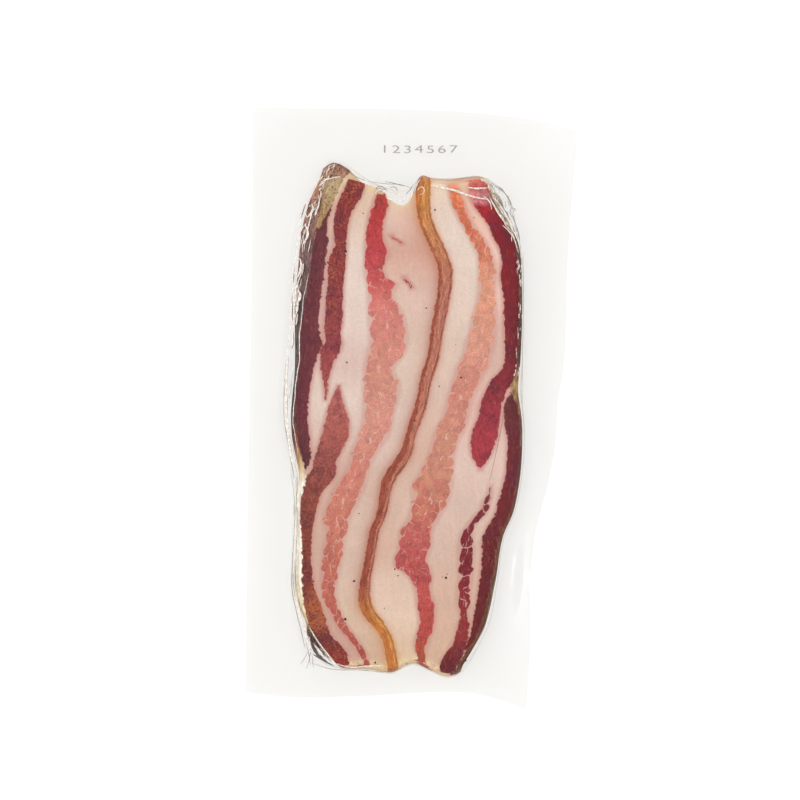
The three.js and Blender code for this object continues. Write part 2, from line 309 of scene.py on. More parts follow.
# Lean streaks of the right pile, from the rind to its outer side.
RIGHT_STREAKS = (
    Streak(
        (
            (107, 15.5, 21.5), (100, 17.5, 21.8), (94, 18.8, 24.3), (88, 21.5, 26.5),
            (82, 24.8, 30), (76, 28, 34.5), (70, 30.5, 37), (64, 31.2, 38.8), (55, 31.2, 38.2),
            (47, 30, 38.8), (42, 28.4, 39),
            (36, 27.5, 38.6), (29, 25, 37.8), (24, 23.8, 36.2), (18, 21, 34.5), (13, 19.5, 31.8),
            (5, 17, 28), (-4, 14.7, 25.6), (-10, 11.5, 24), (-16, 9.8, 21.3), (-23, 7.5, 19.6),
            (-30, 4, 19), (-35, 0.8, 18.8), (-42, 1, 17), (-50, -1, 13), (-56, -4.6, 9.8),
            (-64, -5.5, 8.7), (-70, -7.5, 7), (-73, -7, 8), (-77, -1.5, 9.4), (-84, 2, 8.6),
            (-90, 2.8, 10.5), (-100, 3.8, 10.5), (-107, 2, 7.8), (-113, 2.6, 6.5), (-119, 4.5, 7.5),
        ),
        (
            (106, (238, 168, 140)), (100, (238, 134, 92)), (85, (214, 112, 80)), (72, (210, 118, 92)),
            (60, (224, 154, 126)), (28, (224, 155, 137)), (10, (207, 133, 119)), (-4, (206, 134, 120)),
            (-28, (204, 132, 116)), (-46, (192, 108, 94)), (-60, (194, 92, 90)), (-80, (188, 78, 76)),
            (-105, (184, 70, 62)), (-116, (186, 90, 60)),
        ),
        bundled=((95, 0.4), (80, 0.8), (-45, 1), (-62, 0.6), (-110, 0.3)),
        flecked=((100, 0.2), (60, 0.7), (30, 0.5), (0, 0.2), (-20, 0.9), (-45, 0.6), (-65, 0.1)),
    ),
    Streak(
        (
            (112, 27, 35.5), (100, 27, 38), (95, 28, 40), (90, 31, 46), (85, 35, 50),
            (78, 38, 54), (70, 41.6, 56), (60, 41, 56), (52, 42.5, 56), (40, 42.7, 56),
            (28, 43.2, 56), (21, 43, 56), (17, 41, 56), (13, 37, 50), (9, 35, 44.5),
            (3, 32.3, 42), (-4, 31, 40.8), (-10, 28.6, 40), (-17, 27.4, 38.3), (-23, 28.5, 35.5),
            (-28, 31.5, 32.3),
        ),
        (
            (107, (228, 128, 108)), (102, (208, 96, 92)), (98, (214, 134, 134)), (94.6, (212, 126, 128)),
            (92.6, (178, 34, 46)), (87, (160, 26, 40)), (80, (131, 15, 28)), (60, (131, 22, 34)),
            (30, (128, 28, 36)), (10, (136, 40, 50)), (0, (156, 48, 60)), (-20, (170, 54, 66)),
        ),
        flecked=((100, 0.4), (90, 0.0)),
    ),
    Streak(
        (
            (8.5, 46.5, 49), (5, 44.5, 54), (1, 42.7, 56), (-6, 42.8, 56), (-14, 44.3, 56),
            (-25, 44, 56), (-35, 42.5, 56), (-43, 40.2, 54), (-50, 38, 52), (-54, 35.5, 50),
            (-60, 33, 48), (-70, 32.5, 46), (-80, 31.5, 44), (-90, 30, 42), (-100, 28, 40),
            (-107, 26.5, 36), (-113, 24.5, 30),
        ),
        ((5, (104, 38, 44)), (-30, (114, 24, 36)), (-75, (108, 18, 28)), (-105, (104, 4, 14))),
        flecked=((0, 0.15),),
    ),
    Streak(
        (
            (-36, 36.3, 36.9), (-40, 34.9, 36.8), (-44, 32.6, 36), (-47, 31.5, 35.3),
            (-50, 28.6, 32.8), (-54, 25.4, 29), (-58, 23, 28), (-64, 21.9, 28.5), (-72, 21.8, 28.3),
            (-79, 21.8, 28), (-84, 21.4, 26.8), (-88, 21.3, 26.8), (-92, 21.8, 26.8),
            (-95, 22.9, 25.9), (-100, 21.4, 26.9), (-105, 20.4, 26.4), (-110, 17.8, 24.8),
            (-115, 14.6, 23.4), (-119, 12.8, 21.4), (-124, 13.5, 20),
        ),
        ((-45, (126, 38, 50)), (-70, (126, 24, 40)), (-105, (146, 46, 46)), (-117, (106, 22, 30))),
        bundled=((-45, 0.6), (-60, 0.8), (-90, 0.8), (-96, 0.3)),
    ),
)
# Two small blood marks in the fat.
MARKS = (
    Streak(((79, -9.6, -8.7), (78, -8.8, -7), (77, -7, -5.2), (75.8, -4.8, -3.6)), ((77, (200, 96, 92)),)),
    Streak(((60, -3.6, -2.8), (58.4, -2.6, -1.3), (57, -1.4, 0.1), (55.4, 0.2, 1.3)), ((57, (158, 26, 36)),)),
)
ALL_STREAKS = LEFT_STREAKS + RIGHT_STREAKS + MARKS

# The tan, peppered corner of the left pile.
CORNER = Streak(
    (
        (117, -50, -26), (110, -50, -27), (106, -48, -30.5), (103, -43, -32), (100, -42, -33.2),
        (96, -42.8, -35.3), (92, -43.2, -37.2), (88, -43.4, -39.6), (84, -43.4, -41.4),
        (82, -43.2, -42.6),
    ),
    (
        (113, (166, 116, 96)), (108, (176, 128, 104)), (104, (192, 168, 132)), (92, (184, 152, 110)),
        (84, (178, 144, 98)),
    ),
)
left_bark_tone = tones_along(
    (104, (196, 150, 122)), (94, (186, 132, 110)), (86, (172, 128, 116)), (76, (150, 112, 108)),
    (66, (140, 106, 104)), (45, (122, 96, 92)), (25, (104, 80, 76)), (4, (84, 64, 60)),
    (-6, (104, 66, 56)), (-16, (152, 90, 64)),
    (-23, (192, 152, 114)), (-29, (214, 192, 154)), (-36, (250, 242, 228)), (-74, (250, 242, 228)),
    (-86, (240, 226, 200)), (-97, (224, 204, 170)), (-102, (134, 100, 82)), (-107, (104, 76, 66)),
    (-112, (112, 84, 74)), (-116, (176, 150, 132)),
)
right_bark_tone = tones_along(
    (102, (238, 220, 196)), (92, (228, 206, 178)), (84, (196, 166, 138)), (78, (130, 94, 72)),
    (66, (112, 76, 54)), (20, (112, 74, 50)), (12, (176, 140, 96)), (4, (150, 108, 74)),
    (-20, (104, 52, 44)), (-60, (124, 78, 54)), (-112, (118, 70, 48)),
)
left_bark_width = through(
    (-119, 0.4), (-104, 0.3), (-96, 0.7), (-60, 0.6), (-50, 0), (-42, -0.1), (-36, 0.9), (-33, 1.6),
    (-27, 1.6), (-20, 0.9), (-8, 0.9), (4, 0.3), (80, 0.4),
)
right_bark_width = through(
    (-110, 0.7), (-20, 0.3), (0, 0.5), (7, 2.2), (11, 2.2), (15, 0.9), (74, 0.9), (84, 0.5),
    (100, 0.4),
)
# The browned outer edge of each pile: its width and its tone along the pile.
BARK = {"left": (left_bark_width, left_bark_tone), "right": (right_bark_width, right_bark_tone)}

# Fat tones along the piles, from the outer left to the outer right.
FAT_TONES = (
    tones_along(
        (105, (226, 196, 166)), (90, (222, 192, 174)), (70, (230, 209, 198)), (40, (229, 207, 198)),
        (20, (225, 194, 184)), (5, (228, 206, 195)), (-30, (213, 174, 159)), (-60, (210, 173, 157)),
        (-118, (206, 163, 146)),
    ),
    tones_along(
        (98, (228, 200, 174)), (85, (227, 193, 181)), (72, (215, 168, 152)), (60, (223, 185, 170)),
        (50, (226, 194, 180)), (10, (221, 197, 183)), (-10, (223, 198, 187)), (-30, (219, 190, 175)),
        (-60, (220, 191, 175)), (-80, (218, 190, 173)), (-95, (218, 188, 168)), (-118, (214, 178, 154)),
    ),
    tones_along(
        (104, (238, 214, 192)), (90, (234, 211, 196)), (78, (233, 213, 200)), (60, (231, 209, 196)),
        (30, (225, 199, 184)), (5, (223, 192, 177)), (-20, (217, 179, 162)), (-45, (219, 187, 171)),
        (-64, (216, 178, 160)), (-78, (225, 194, 177)), (-95, (229, 201, 182)), (-118, (222, 190, 158)),
    ),
    tones_along(
        (100, (230, 184, 160)), (72, (238, 198, 186)), (50, (236, 196, 184)), (30, (220, 184, 170)),
        (0, (222, 180, 169)), (-25, (228, 198, 187)), (-45, (220, 191, 178)), (-65, (219, 187, 172)),
        (-80, (217, 181, 163)), (-118, (216, 178, 154)),
    ),
)


FAT_BLEND = 4  # half the width over which one region's tone turns into the next


def fat_tone(x, y):
    """The fat's own colour, blended from one long region to the next."""
    middles = (LEFT_STREAKS[3].middle(y), rind_middle(y), RIGHT_STREAKS[0].middle(y))
    tone = FAT_TONES[0](y)
    for middle, following in zip(middles, FAT_TONES[1:]):
        share = ease(middle - FAT_BLEND, middle + FAT_BLEND, x)[:, None]
        tone = tone * (1 - share) + following(y) * share
    return tone


def rind_across(x, y):
    """The place across the two rinds: -1 and 1 at their outer edges and 0 where they meet."""
    return (x - rind_middle(y)) / rind_half_width(y)


# Where across the rind its lighter side begins.
rind_light_from = through(
    (-119, 0.4), (-100, 0.2), (-80, 0.4), (-60, 0.3), (-25, 0.1), (10, -0.45), (50, -0.5), (80, -0.6),
    (100, 0),
)
END_THINNING = 1.2
OUTER_SHADE = 0.22  # how much darker the lean is at the outer side of a pile
STRIP_SHADE = 0.3  # how much darker the thin strip of fat between the two outer left streaks is
STRIP_ASIDE = 0.9  # how far left of the second streak's edge the strip's middle is
UNEVENNESS = 0.35
FAT_SWELL, LEAN_DIP = 0.3, 0.35
RIND_RIDGE, RIND_GROOVE = 0.2, 0.35


def lean_depth(x, y):
    return np.max([streak.depth(x, y) for streak in ALL_STREAKS], axis=0)


def pile_height(x, y, relief=1.0):
    """The upper face of the pile, under the film, with fat a little proud of the lean."""
    thin = END_THINNING * (np.abs(y) / TOP) ** 3
    uneven = UNEVENNESS * np.sin(x / 17 + y / 41) * np.cos(y / 23 - x / 60)
    lean = ease(-1.5, 2.5, lean_depth(x, y))
    across = np.abs(rind_across(x, y))
    groove = RIND_GROOVE * np.exp(-(((across - 1.2) / 0.5) ** 2))
    ridge = RIND_RIDGE * np.exp(-((across / 0.75) ** 2))
    swell = FAT_SWELL - (FAT_SWELL + LEAN_DIP) * lean - groove + ridge
    return PILE_HEIGHT - 0.5 - thin + uneven + relief * swell


def wavering(x, y, size_x, size_y, seed):
    """Smooth noise from -1 to 1, with waves of about these sizes in millimetres."""
    places = zip(np.ravel(x) / size_x, np.ravel(y) / size_y)
    values = [noise.noise(Vector((a, b, seed))) for a, b in places]
    return np.array(values).reshape(np.shape(x))


def only_select(obj):
    bpy.ops.object.select_all(action="DESELECT")
    obj.select_set(True)
    bpy.context.view_layer.objects.active = obj


def bent_grid(name, columns, rows, place):
    """Adds a grid and moves each point to place(u, v), where u and v run from 0 to 1."""
    bpy.ops.object.select_all(action="DESELECT")
    bpy.ops.mesh.primitive_grid_add(x_subdivisions=columns, y_subdivisions=rows, size=1)
    obj = bpy.context.object
    obj.name = obj.data.name = name
    flat = np.empty(len(obj.data.vertices) * 3)
    obj.data.vertices.foreach_get("co", flat)
    flat = flat.reshape(-1, 3)
    moved = np.stack(place(flat[:, 0] + 0.5, flat[:, 1] + 0.5), axis=-1) * MM
    obj.data.vertices.foreach_set("co", moved.ravel())
    obj.data.update()
    return obj


def thicken(obj, thickness):
    """Gives a sheet its thickness, below it."""
    only_select(obj)
    solidify = obj.modifiers.new("Thickness", "SOLIDIFY")
    solidify.thickness = thickness
    solidify.offset = -1
    bpy.ops.object.modifier_apply(modifier=solidify.name)


def finish_piece(obj, material, angle=60):
    """Smooth shading, finish, body and material slot."""
    only_select(obj)
    bpy.ops.object.shade_smooth_by_angle(angle=math.radians(angle))
    obj.data.materials.clear()
    obj.data.materials.append(material)
    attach(obj, BODY)
    return obj


def points_of(obj):
    flat = np.empty(len(obj.data.vertices) * 3)
    obj.data.vertices.foreach_get("co", flat)
    return flat.reshape(-1, 3) / MM


def store(mesh, name, values):
    """Keeps a number, or a colour of three numbers, for each point."""
    values = np.asarray(values, np.float32)
    if values.ndim == 1:
        mesh.attributes.new(name, "FLOAT", "POINT").data.foreach_set("value", values)
        return
    layer = mesh.attributes.new(name, "FLOAT_COLOR", "POINT")
    layer.data.foreach_set("color", np.column_stack([values, np.ones(len(values), np.float32)]).ravel())


class Graph:
    """Short names for wiring the nodes of one material."""

    def __init__(self, name):
        self.material = bpy.data.materials.new(name)
        self.material.use_nodes = True
        self.tree = self.material.node_tree
        self.tree.nodes.clear()

    def add(self, kind, **settings):
        node = self.tree.nodes.new(kind)
        for key, value in settings.items():
            setattr(node, key, value)
        return node

    def put(self, socket, value):
        if isinstance(value, bpy.types.NodeSocket):
            self.tree.links.new(value, socket)
        else:
            socket.default_value = value

    def math(self, operation, a, b=0.0, kind="ShaderNodeMath"):
        node = self.add(kind, operation=operation)
        self.put(node.inputs[0], a)
        self.put(node.inputs[1], b)
        return node.outputs[0]

    def times(self, a, b):
        return self.math("MULTIPLY", a, b)

    def plus(self, a, b):
        return self.math("ADD", a, b)

    def minus(self, a, b):
        return self.math("SUBTRACT", a, b)

    def vector(self, operation, a, b):
        return self.math(operation, a, b, "ShaderNodeVectorMath")

    def stretched(self, place, amounts):
        """A place for a texture, which is drawn out along an axis by a small number."""
        return self.vector("MULTIPLY", place, amounts)

    def parts(self, kind, value):
        """The three numbers of a place or a colour."""
        node = self.add(kind)
        self.put(node.inputs[0], value)
        return node.outputs

    def ramp(self, value, low, high, to_low=0.0, to_high=1.0):
        node = self.add("ShaderNodeMapRange", interpolation_type="SMOOTHSTEP")
        for socket, number in zip(node.inputs, (value, low, high, to_low, to_high)):
            self.put(socket, number)
        return node.outputs[0]

    def mix(self, share, a, b, blend="MIX"):
        node = self.add("ShaderNodeMix", data_type="RGBA", blend_type=blend)
        self.put(node.inputs[0], share)
        self.put(node.inputs[6], a)
        self.put(node.inputs[7], b)
        return node.outputs[2]

    def tint(self, colour, factor):
        """A colour multiplied by another."""
        return self.mix(1.0, colour, factor, "MULTIPLY")

    def noise(self, vector, scale, detail=2.0, output=0):
        node = self.add("ShaderNodeTexNoise")
        self.put(node.inputs["Vector"], vector)
        node.inputs["Scale"].default_value = scale
        node.inputs["Detail"].default_value = detail
        return node.outputs[output]

    def cells(self, vector, scale, feature="F1", output=0):
        node = self.add("ShaderNodeTexVoronoi", voronoi_dimensions="2D", feature=feature)
        self.put(node.inputs["Vector"], vector)
        node.inputs["Scale"].default_value = scale
        return node.outputs[output]

    def number(self, name):
        return self.add("ShaderNodeAttribute", attribute_name=name).outputs["Fac"]

    def colour(self, name):
        return self.add("ShaderNodeAttribute", attribute_name=name).outputs["Color"]

    def millimetres(self):
        """Object coordinates in millimetres."""
        coordinates = self.add("ShaderNodeTexCoord").outputs["Object"]
        return self.stretched(coordinates, (1 / MM, 1 / MM, 1 / MM))

    def follow(self, across, fine, along, coarse):
        """A place for long textures that follow a band: finely divided across it, coarsely along it."""
        node = self.add("ShaderNodeCombineXYZ")
        self.put(node.inputs[0], self.times(across, fine))
        self.put(node.inputs[1], self.times(along, coarse))
        return node.outputs[0]

    def grey(self, low, high, value):
        """A grey between two numbers, to multiply a colour by."""
        return self.mix(value, (low, low, low, 1), (high, high, high, 1))

    def bump(self, height, strength, distance):
        """A shading normal from a height, with its distance in millimetres."""
        node = self.add("ShaderNodeBump")
        for name, value in (("Strength", strength), ("Distance", distance * MM), ("Height", height)):
            self.put(node.inputs[name], value)
        return node.outputs[0]

    def surface(self, **inputs):
        """A Principled shader; the names of its inputs have underscores for their spaces."""
        node = self.add("ShaderNodeBsdfPrincipled")
        for name, value in inputs.items():
            self.put(node.inputs[name.replace("_", " ")], value)
        return node.outputs[0]

    def finish(self, shader):
        output = self.add("ShaderNodeOutputMaterial")
        self.tree.links.new(shader, output.inputs["Surface"])
        return self.material


# How many waves or cells of the meat's textures go into a millimetre.
DRIFTS, GRAINS, SPECKLES, LUMPS, BUNDLES = 0.14, 1.5, 0.85, 0.5, 0.27
FIBRES_ACROSS, FIBRES_ALONG = 4.5, 0.2
RIND_FIBRES_ACROSS, RIND_FIBRES_ALONG = 3.6, 0.16
DRIFT_REACH = 5  # millimetres
BUNDLE_ANGLE = math.radians(32)
BUNDLE_STRETCH = (1.1, 0.7, 1)
MEAT_RELIEF = 0.25  # millimetres


def meat_material(colours):
    """Marbled pork: fat, bundled and plain lean, browned edge and rind, from each slice's own fields."""
    g = Graph("Cured pork belly")
    here = g.millimetres()
    sway = g.vector("SUBTRACT", g.noise(here, DRIFTS, 2, 1), (0.5, 0.5, 0.5))
    sway = g.stretched(sway, (DRIFT_REACH, DRIFT_REACH, 0))
    drifted = g.vector("ADD", here, sway)
    bundled = g.number("bundled")
    flecked = g.number("flecked")
    grain = g.noise(here, GRAINS, 3)
    along = g.parts("ShaderNodeSeparateXYZ", drifted)[1]
    speckle = g.ramp(g.noise(drifted, SPECKLES, 4), 0.36, 0.64)
    coarse = g.noise(drifted, LUMPS, 4)
    ragged = g.minus(coarse, 0.5)
    fine = g.minus(grain, 0.5)

    # Muscle bundles are leaning cells a few millimetres long. Their ends scallop the streak's edge.
    leaning = g.add("ShaderNodeVectorRotate", rotation_type="Z_AXIS")
    g.put(leaning.inputs["Vector"], drifted)
    leaning.inputs["Angle"].default_value = BUNDLE_ANGLE
    bundles = g.stretched(leaning.outputs[0], BUNDLE_STRETCH)
    centre_gap = g.cells(bundles, BUNDLES)
    cell_edge = g.cells(bundles, BUNDLES, "DISTANCE_TO_EDGE")
    own_tone = g.parts("ShaderNodeSeparateColor", g.cells(bundles, BUNDLES, output=1))[0]
    scallop = g.times(g.minus(0.8, g.times(centre_gap, 3.2)), bundled)
    loose = g.ramp(bundled, 0, 0.6, 1.0, 0.45)
    wobble = g.plus(g.times(ragged, 2.8), g.times(fine, 1.3))
    wobble = g.times(wobble, loose)
    depth = g.plus(g.number("lean"), g.plus(wobble, scallop))
    is_lean = g.ramp(depth, -0.2, 0.2)

    # Slivers of fat lie between bundles, most of all where they reach the edge, and down the core.
    near_edge = g.ramp(depth, 3.2, 0.6, 0.45, 1.0)
    seam_width = g.times(g.ramp(g.noise(drifted, 0.3, 3), 0.42, 0.62, 0, 0.075), near_edge)
    seam = g.ramp(g.minus(seam_width, cell_edge), 0.0, 0.03)
    jagged = g.minus(g.noise(drifted, 0.35, 3), 0.5)
    core_place = g.math("ABSOLUTE", g.plus(g.number("across"), jagged))
    core_width = g.ramp(g.noise(here, 0.2, 3), 0.44, 0.62, 0, 0.1)
    core = g.ramp(g.minus(core_width, core_place), 0.0, 0.07)
    dots = g.ramp(g.noise(g.stretched(drifted, (1.5, 0.8, 1)), 0.8, 2), 0.64, 0.74, 0, 0.6)
    core = g.times(core, g.ramp(bundled, 0.6, 0.95))
    threads = g.math("MAXIMUM", g.math("MAXIMUM", seam, core), dots)
    threads = g.times(threads, g.ramp(bundled, 0.15, 0.75))

    # Lean: mottled grain, ochre or brown patches, a tone for each bundle, and long fibres.
    fibres = g.follow(g.number("across"), FIBRES_ACROSS, along, FIBRES_ALONG)
    fibres = g.ramp(g.noise(fibres, 1.0, 4), 0.3, 0.7)
    tiny = g.ramp(grain, 0.36, 0.64)
    plain = g.minus(1.0, bundled)
    mottle = g.plus(g.times(flecked, 0.3), 0.22)
    mottle = g.times(g.minus(speckle, 0.5), g.times(mottle, plain))
    mottle = g.plus(mottle, g.times(g.minus(tiny, 0.5), 0.26))
    lean = g.tint(g.colour("tone"), g.plus(mottle, 1.0))
    lean = g.tint(lean, g.grey(0.93, 1.07, g.ramp(coarse, 0.32, 0.68)))
    lean = g.mix(g.ramp(bundled, 0, 1, 1.0, 0.4), lean, g.grey(0.86, 1.14, fibres), "MULTIPLY")
    lean = g.mix(bundled, lean, g.grey(0.88, 1.1, own_tone), "MULTIPLY")
    patches = g.ramp(g.noise(drifted, 0.24, 4), 0.44, 0.6)
    flecks = g.ramp(g.noise(here, 1.15, 2), 0.46, 0.6)
    flecks = g.times(flecks, g.ramp(patches, 0, 1, 0.45, 1.0))
    golden = g.times(g.mix(bundled, flecks, g.times(patches, 0.55)), flecked)
    golden = g.math("MINIMUM", golden, 0.85)
    lean = g.mix(golden, lean, g.mix(bundled, colours["brown_fleck"], colours["ochre"]))
    dusky = g.times(g.ramp(g.noise(drifted, 0.2, 3), 0.5, 0.36, 0, 0.4), plain)
    lean = g.mix(dusky, lean, colours["dusky"])
    pale = g.ramp(g.noise(g.stretched(drifted, (2.2, 0.26, 1)), 0.9, 1), 0.6, 0.76, 0, 0.22)
    lean = g.mix(pale, lean, colours["pale_fleck"])
    lean = g.mix(g.times(threads, 0.66), lean, colours["seam"])

    # Fat: pale with soft clouds, pinker beside the lean, warm beside the rind, cream at the ends.
    clouds = g.ramp(g.noise(here, 0.07, 3), 0.3, 0.7)
    strands = g.ramp(g.noise(g.stretched(drifted, (1.2, 0.12, 1)), 0.8, 4), 0.3, 0.7)
    fat = g.tint(g.colour("fat"), g.grey(0.965, 1.035, clouds))
    fat = g.tint(fat, g.grey(0.965, 1.035, speckle))
    fat = g.tint(fat, g.grey(0.975, 1.025, strands))
    blush = g.times(g.ramp(g.number("lean"), -2.4, 0.2, 0, 0.8), g.ramp(bundled, 0, 1, 1.0, 0.6))
    fat = g.mix(blush, fat, colours["blush"])
    fat = g.mix(g.number("glow"), fat, g.mix(g.number("amber"), colours["rind_glow"], colours["amber_glow"]))
    fat = g.mix(g.times(g.number("cream"), g.ramp(coarse, 0.3, 0.6)), fat, colours["cream"])
    flesh = g.mix(is_lean, fat, lean)

    # The browned and peppered outside.
    bark_tone = g.colour("bark_tone")
    browned = g.ramp(g.parts("ShaderNodeSeparateColor", bark_tone)[1], 0.36, 0.16)
    specks = g.times(g.ramp(g.cells(here, 0.7), 0.28, 0.16, 0, 0.85), g.ramp(coarse, 0.48, 0.58))
    specks = g.times(specks, g.ramp(browned, 0, 1, g.number("peppered"), 1))
    blotches = g.ramp(g.noise(g.stretched(here, (1.3, 0.5, 1)), 0.6, 4), 0.34, 0.66)
    uneven = g.mix(g.ramp(browned, 0, 1, 0.35, 1), (1, 1, 1, 1), g.grey(0.6, 1.4, blotches))
    bark = g.tint(bark_tone, uneven)
    toasted = g.times(g.number("peppered"), g.ramp(g.noise(here, 0.4, 4), 0.5, 0.68, 0, 0.8))
    bark = g.mix(toasted, bark, colours["toasted"])
    bark = g.mix(specks, bark, colours["speck"])
    bark_depth = g.plus(g.number("bark"), wobble)
    flesh = g.mix(g.ramp(bark_depth, -0.25, 0.25), flesh, bark)

    # The rind: a dark side, a lighter side with long fibres, and a hairline where the two rinds meet.
    shifted = g.plus(g.times(ragged, 0.7), g.times(fine, 0.45))
    rind_place = g.plus(g.number("rind"), shifted)
    light_side = g.ramp(g.plus(g.number("rind_core"), g.times(shifted, 1.4)), -0.2, 0.2)
    amber = g.number("amber")
    dark = g.mix(amber, colours["rind_dark"], colours["amber_dark"])
    light = g.mix(amber, colours["rind"], colours["amber"])
    line = g.mix(amber, colours["rind_edge"], colours["amber_edge"])
    rind = g.mix(light_side, dark, light)
    rind_grain = g.follow(rind_place, RIND_FIBRES_ACROSS, along, RIND_FIBRES_ALONG)
    rind_grain = g.ramp(g.noise(rind_grain, 1.0, 4), 0.3, 0.7)
    strength = g.ramp(amber, 0, 1, 1.0, 0.85)
    rind = g.mix(strength, rind, g.tint(rind, g.grey(0.62, 1.34, rind_grain)))
    rind = g.mix(strength, rind, g.tint(rind, g.grey(0.86, 1.14, g.ramp(grain, 0.3, 0.7))))
    hairline = g.ramp(g.math("ABSOLUTE", g.minus(g.number("rind"), MEETING)), 0.2, 0.05)
    outline = g.ramp(rind_place, -0.72, -0.98)
    lines = g.times(g.math("MAXIMUM", hairline, outline), g.ramp(rind_grain, 0.1, 0.7, 0.9, 0.45))
    rind = g.mix(lines, rind, line)
    base = g.mix(g.ramp(g.math("ABSOLUTE", rind_place), 1.1, 0.96), flesh, rind)

    relief = g.plus(g.times(is_lean, -0.4), g.times(grain, 0.2))
    relief = g.plus(relief, g.times(threads, 0.3))
    shine = g.ramp(grain, 0.3, 0.7, 0.42, 0.55)
    normal = g.bump(relief, 0.5, MEAT_RELIEF)
    return g.finish(g.surface(Base_Color=base, Roughness=shine, Specular_IOR_Level=0.15, Normal=normal))


FILM_INDEX = 1.36
FILM_ROUGHNESS = 0.07
# The share of light that passes each face of the upper film and of the cloudier base film.
UPPER_CLEARNESS, LOWER_CLEARNESS = 0.994, 0.984
STEEP_CLEARNESS = (0.88, 0.86, 0.82, 1)  # what passes where the film is seen along its face


def film_material(name, clearness):
    """Clear gloss film: it lets nearly all light through, mirrors a little, and greys where steep."""
    g = Graph(name)
    ripples = g.noise(g.stretched(g.millimetres(), (1, 0.4, 1)), 0.5, 3)
    normal = g.bump(ripples, 0.3, 0.2)
    facing = g.add("ShaderNodeLayerWeight")
    facing.inputs["Blend"].default_value = 0.5
    steep = g.ramp(facing.outputs["Facing"], 0.55, 1.0)
    clear = g.add("ShaderNodeBsdfTransparent")
    even = (clearness, clearness - 0.002, clearness - 0.007, 1)
    g.put(clear.inputs["Color"], g.mix(steep, even, STEEP_CLEARNESS))
    gloss = g.add("ShaderNodeBsdfGlossy")
    gloss.inputs["Roughness"].default_value = FILM_ROUGHNESS
    g.put(gloss.inputs["Normal"], normal)
    # A film is so thin that it mirrors once, so only the face that turns to the light does.
    back = g.add("ShaderNodeNewGeometry").outputs["Backfacing"]
    fresnel = g.add("ShaderNodeFresnel")
    fresnel.inputs["IOR"].default_value = FILM_INDEX
    g.put(fresnel.inputs["Normal"], normal)
    both = g.add("ShaderNodeMixShader")
    share = g.times(fresnel.outputs[0], g.minus(1.0, back))
    for socket, value in zip(both.inputs, (share, clear.outputs[0], gloss.outputs[0])):
        g.put(socket, value)
    return g.finish(both.outputs[0])


def painted_light_crease_material(name, light, dark, cover):
    """Painted glints and painted shade lines of the film's creases: a colour that hides what lies under it.
    """
    g = Graph(name)
    shade = g.noise(g.millimetres(), 0.9, 2)
    hiding = g.ramp(shade, 0.35, 0.6, cover, cover * 0.55)
    return g.finish(g.surface(Base_Color=g.mix(shade, light, dark), Roughness=0.2, Alpha=hiding))


def pepper_material():
    g = Graph("Cracked pepper")
    shade = g.noise(g.millimetres(), 1.7, 3)
    colour = g.mix(shade, painted(18, 10, 8), painted(54, 32, 24))
    return g.finish(g.surface(Base_Color=colour, Roughness=0.6, Specular_IOR_Level=0.08))


def ink_material(colours):
    g = Graph("Thin grey ink")
    patches = g.noise(g.millimetres(), 3.0, 2)
    colour = g.mix(patches, colours["ink"], colours["ink_thin"])
    return g.finish(g.surface(Base_Color=colour, Roughness=0.5))


def colours_of(scene):
    settings = scene.bacon_colours
    return {name: (*getattr(settings, name), 1.0) for name in settings.__annotations__}


SHOWN_DEPTH = 0.4  # the film lies this far above the meat
BED_HEIGHT = 0.35
EDGE_ROUND = 1.3
EDGE_DROOP = 0.55
SLICE_GAP = 0.06
SLICE_ROUGHNESS = 0.1
PILE_LOSS = 1.2  # how much less than the pile's height its slices fill
FIRST_LENGTH, ROUNDS = 220, 12  # the first guess at a slice's length, and how often it is bettered
CUT_SHIFT, CUT_SWAY = 5.0, 1.4  # how far the streaks move from a slice to the next
UNDER_BROWNING = 2.5  # how much wider the browned edge of the lower slices is
FIELD_LIMIT = 6  # millimetres past which a stored distance is cut off
MEETING = 0.78  # where across the rind the two piles meet


# How far down the left wall the lowest slice reaches, as a share of the way to its foot.
left_reach = through(
    (-40, 0.4), (-15, 0.42), (5, 0.39), (30, 0.54), (50, 0.72), (66, 0.78), (85, 0.9), (100, 1.05),
)


def slice_edges(pile, level, levels, y):
    """Left and right edge of a slice, counting levels down from the top one at 0."""
    down = level / levels
    meeting = rind_middle(y) + MEETING * rind_half_width(y)
    if pile == "left":
        stepped = 0.05 + (left_reach(y) - 0.05) * down**0.9
        # Along the near half the side is nearly square, with a nick, and it steps out at the corner.
        nick = 0.14 * np.exp(-(((y + 46) / 9) ** 2))
        under = (0.3 * ease(-30, -38, y) + 0.2) * min(down * 3, 1) * ease(-104, -84, y)
        square = 0.02 + nick + under
        square = square + 0.8 * down * ease(-97, -105, y)
        reach = square + (stepped - square) * ease(-36, -22, y)
        stray = 0.5 * np.sin(y / (8 + 3 * level) + 2 * level) * min(level, 1)
        shoulder = shoulder_left(y)
        return shoulder + (foot_left(y) - shoulder) * reach + stray, meeting - 0.02
    stray = 0.3 * np.sin(y / (9 + 2 * level) + 1.3 * level) * min(level, 1)
    shoulder = shoulder_right(y)
    reach = 0.1 + 0.6 * down * (1 - 0.5 * ease(76, 86, y))
    return meeting + 0.02, shoulder + (foot_right(y) - shoulder) * reach + stray


def slice_ends(level, levels, x):
    """Near and far end of a slice. Lower slices stick out further, most of all at the corners."""
    down = level / levels
    near, far = shoulder_near(x), shoulder_far(x)
    lobes = np.maximum(ease(-20, -30, x), ease(0, 4, x))
    out = 0.12 + lobes * (0.9 * down + 0.15 * ease(0, 4, x))
    near_out = (0.35 + 0.65 * down) * (1 - 0.8 * ease(-31, -38, x))
    return near + (foot_near(x) - near) * near_out, far + (foot_far(x) - far) * out


# Columns and rows of cells in the top and bottom slices, and in those between.
FINE_CELLS, COARSE_CELLS = (78, 300), (36, 160)


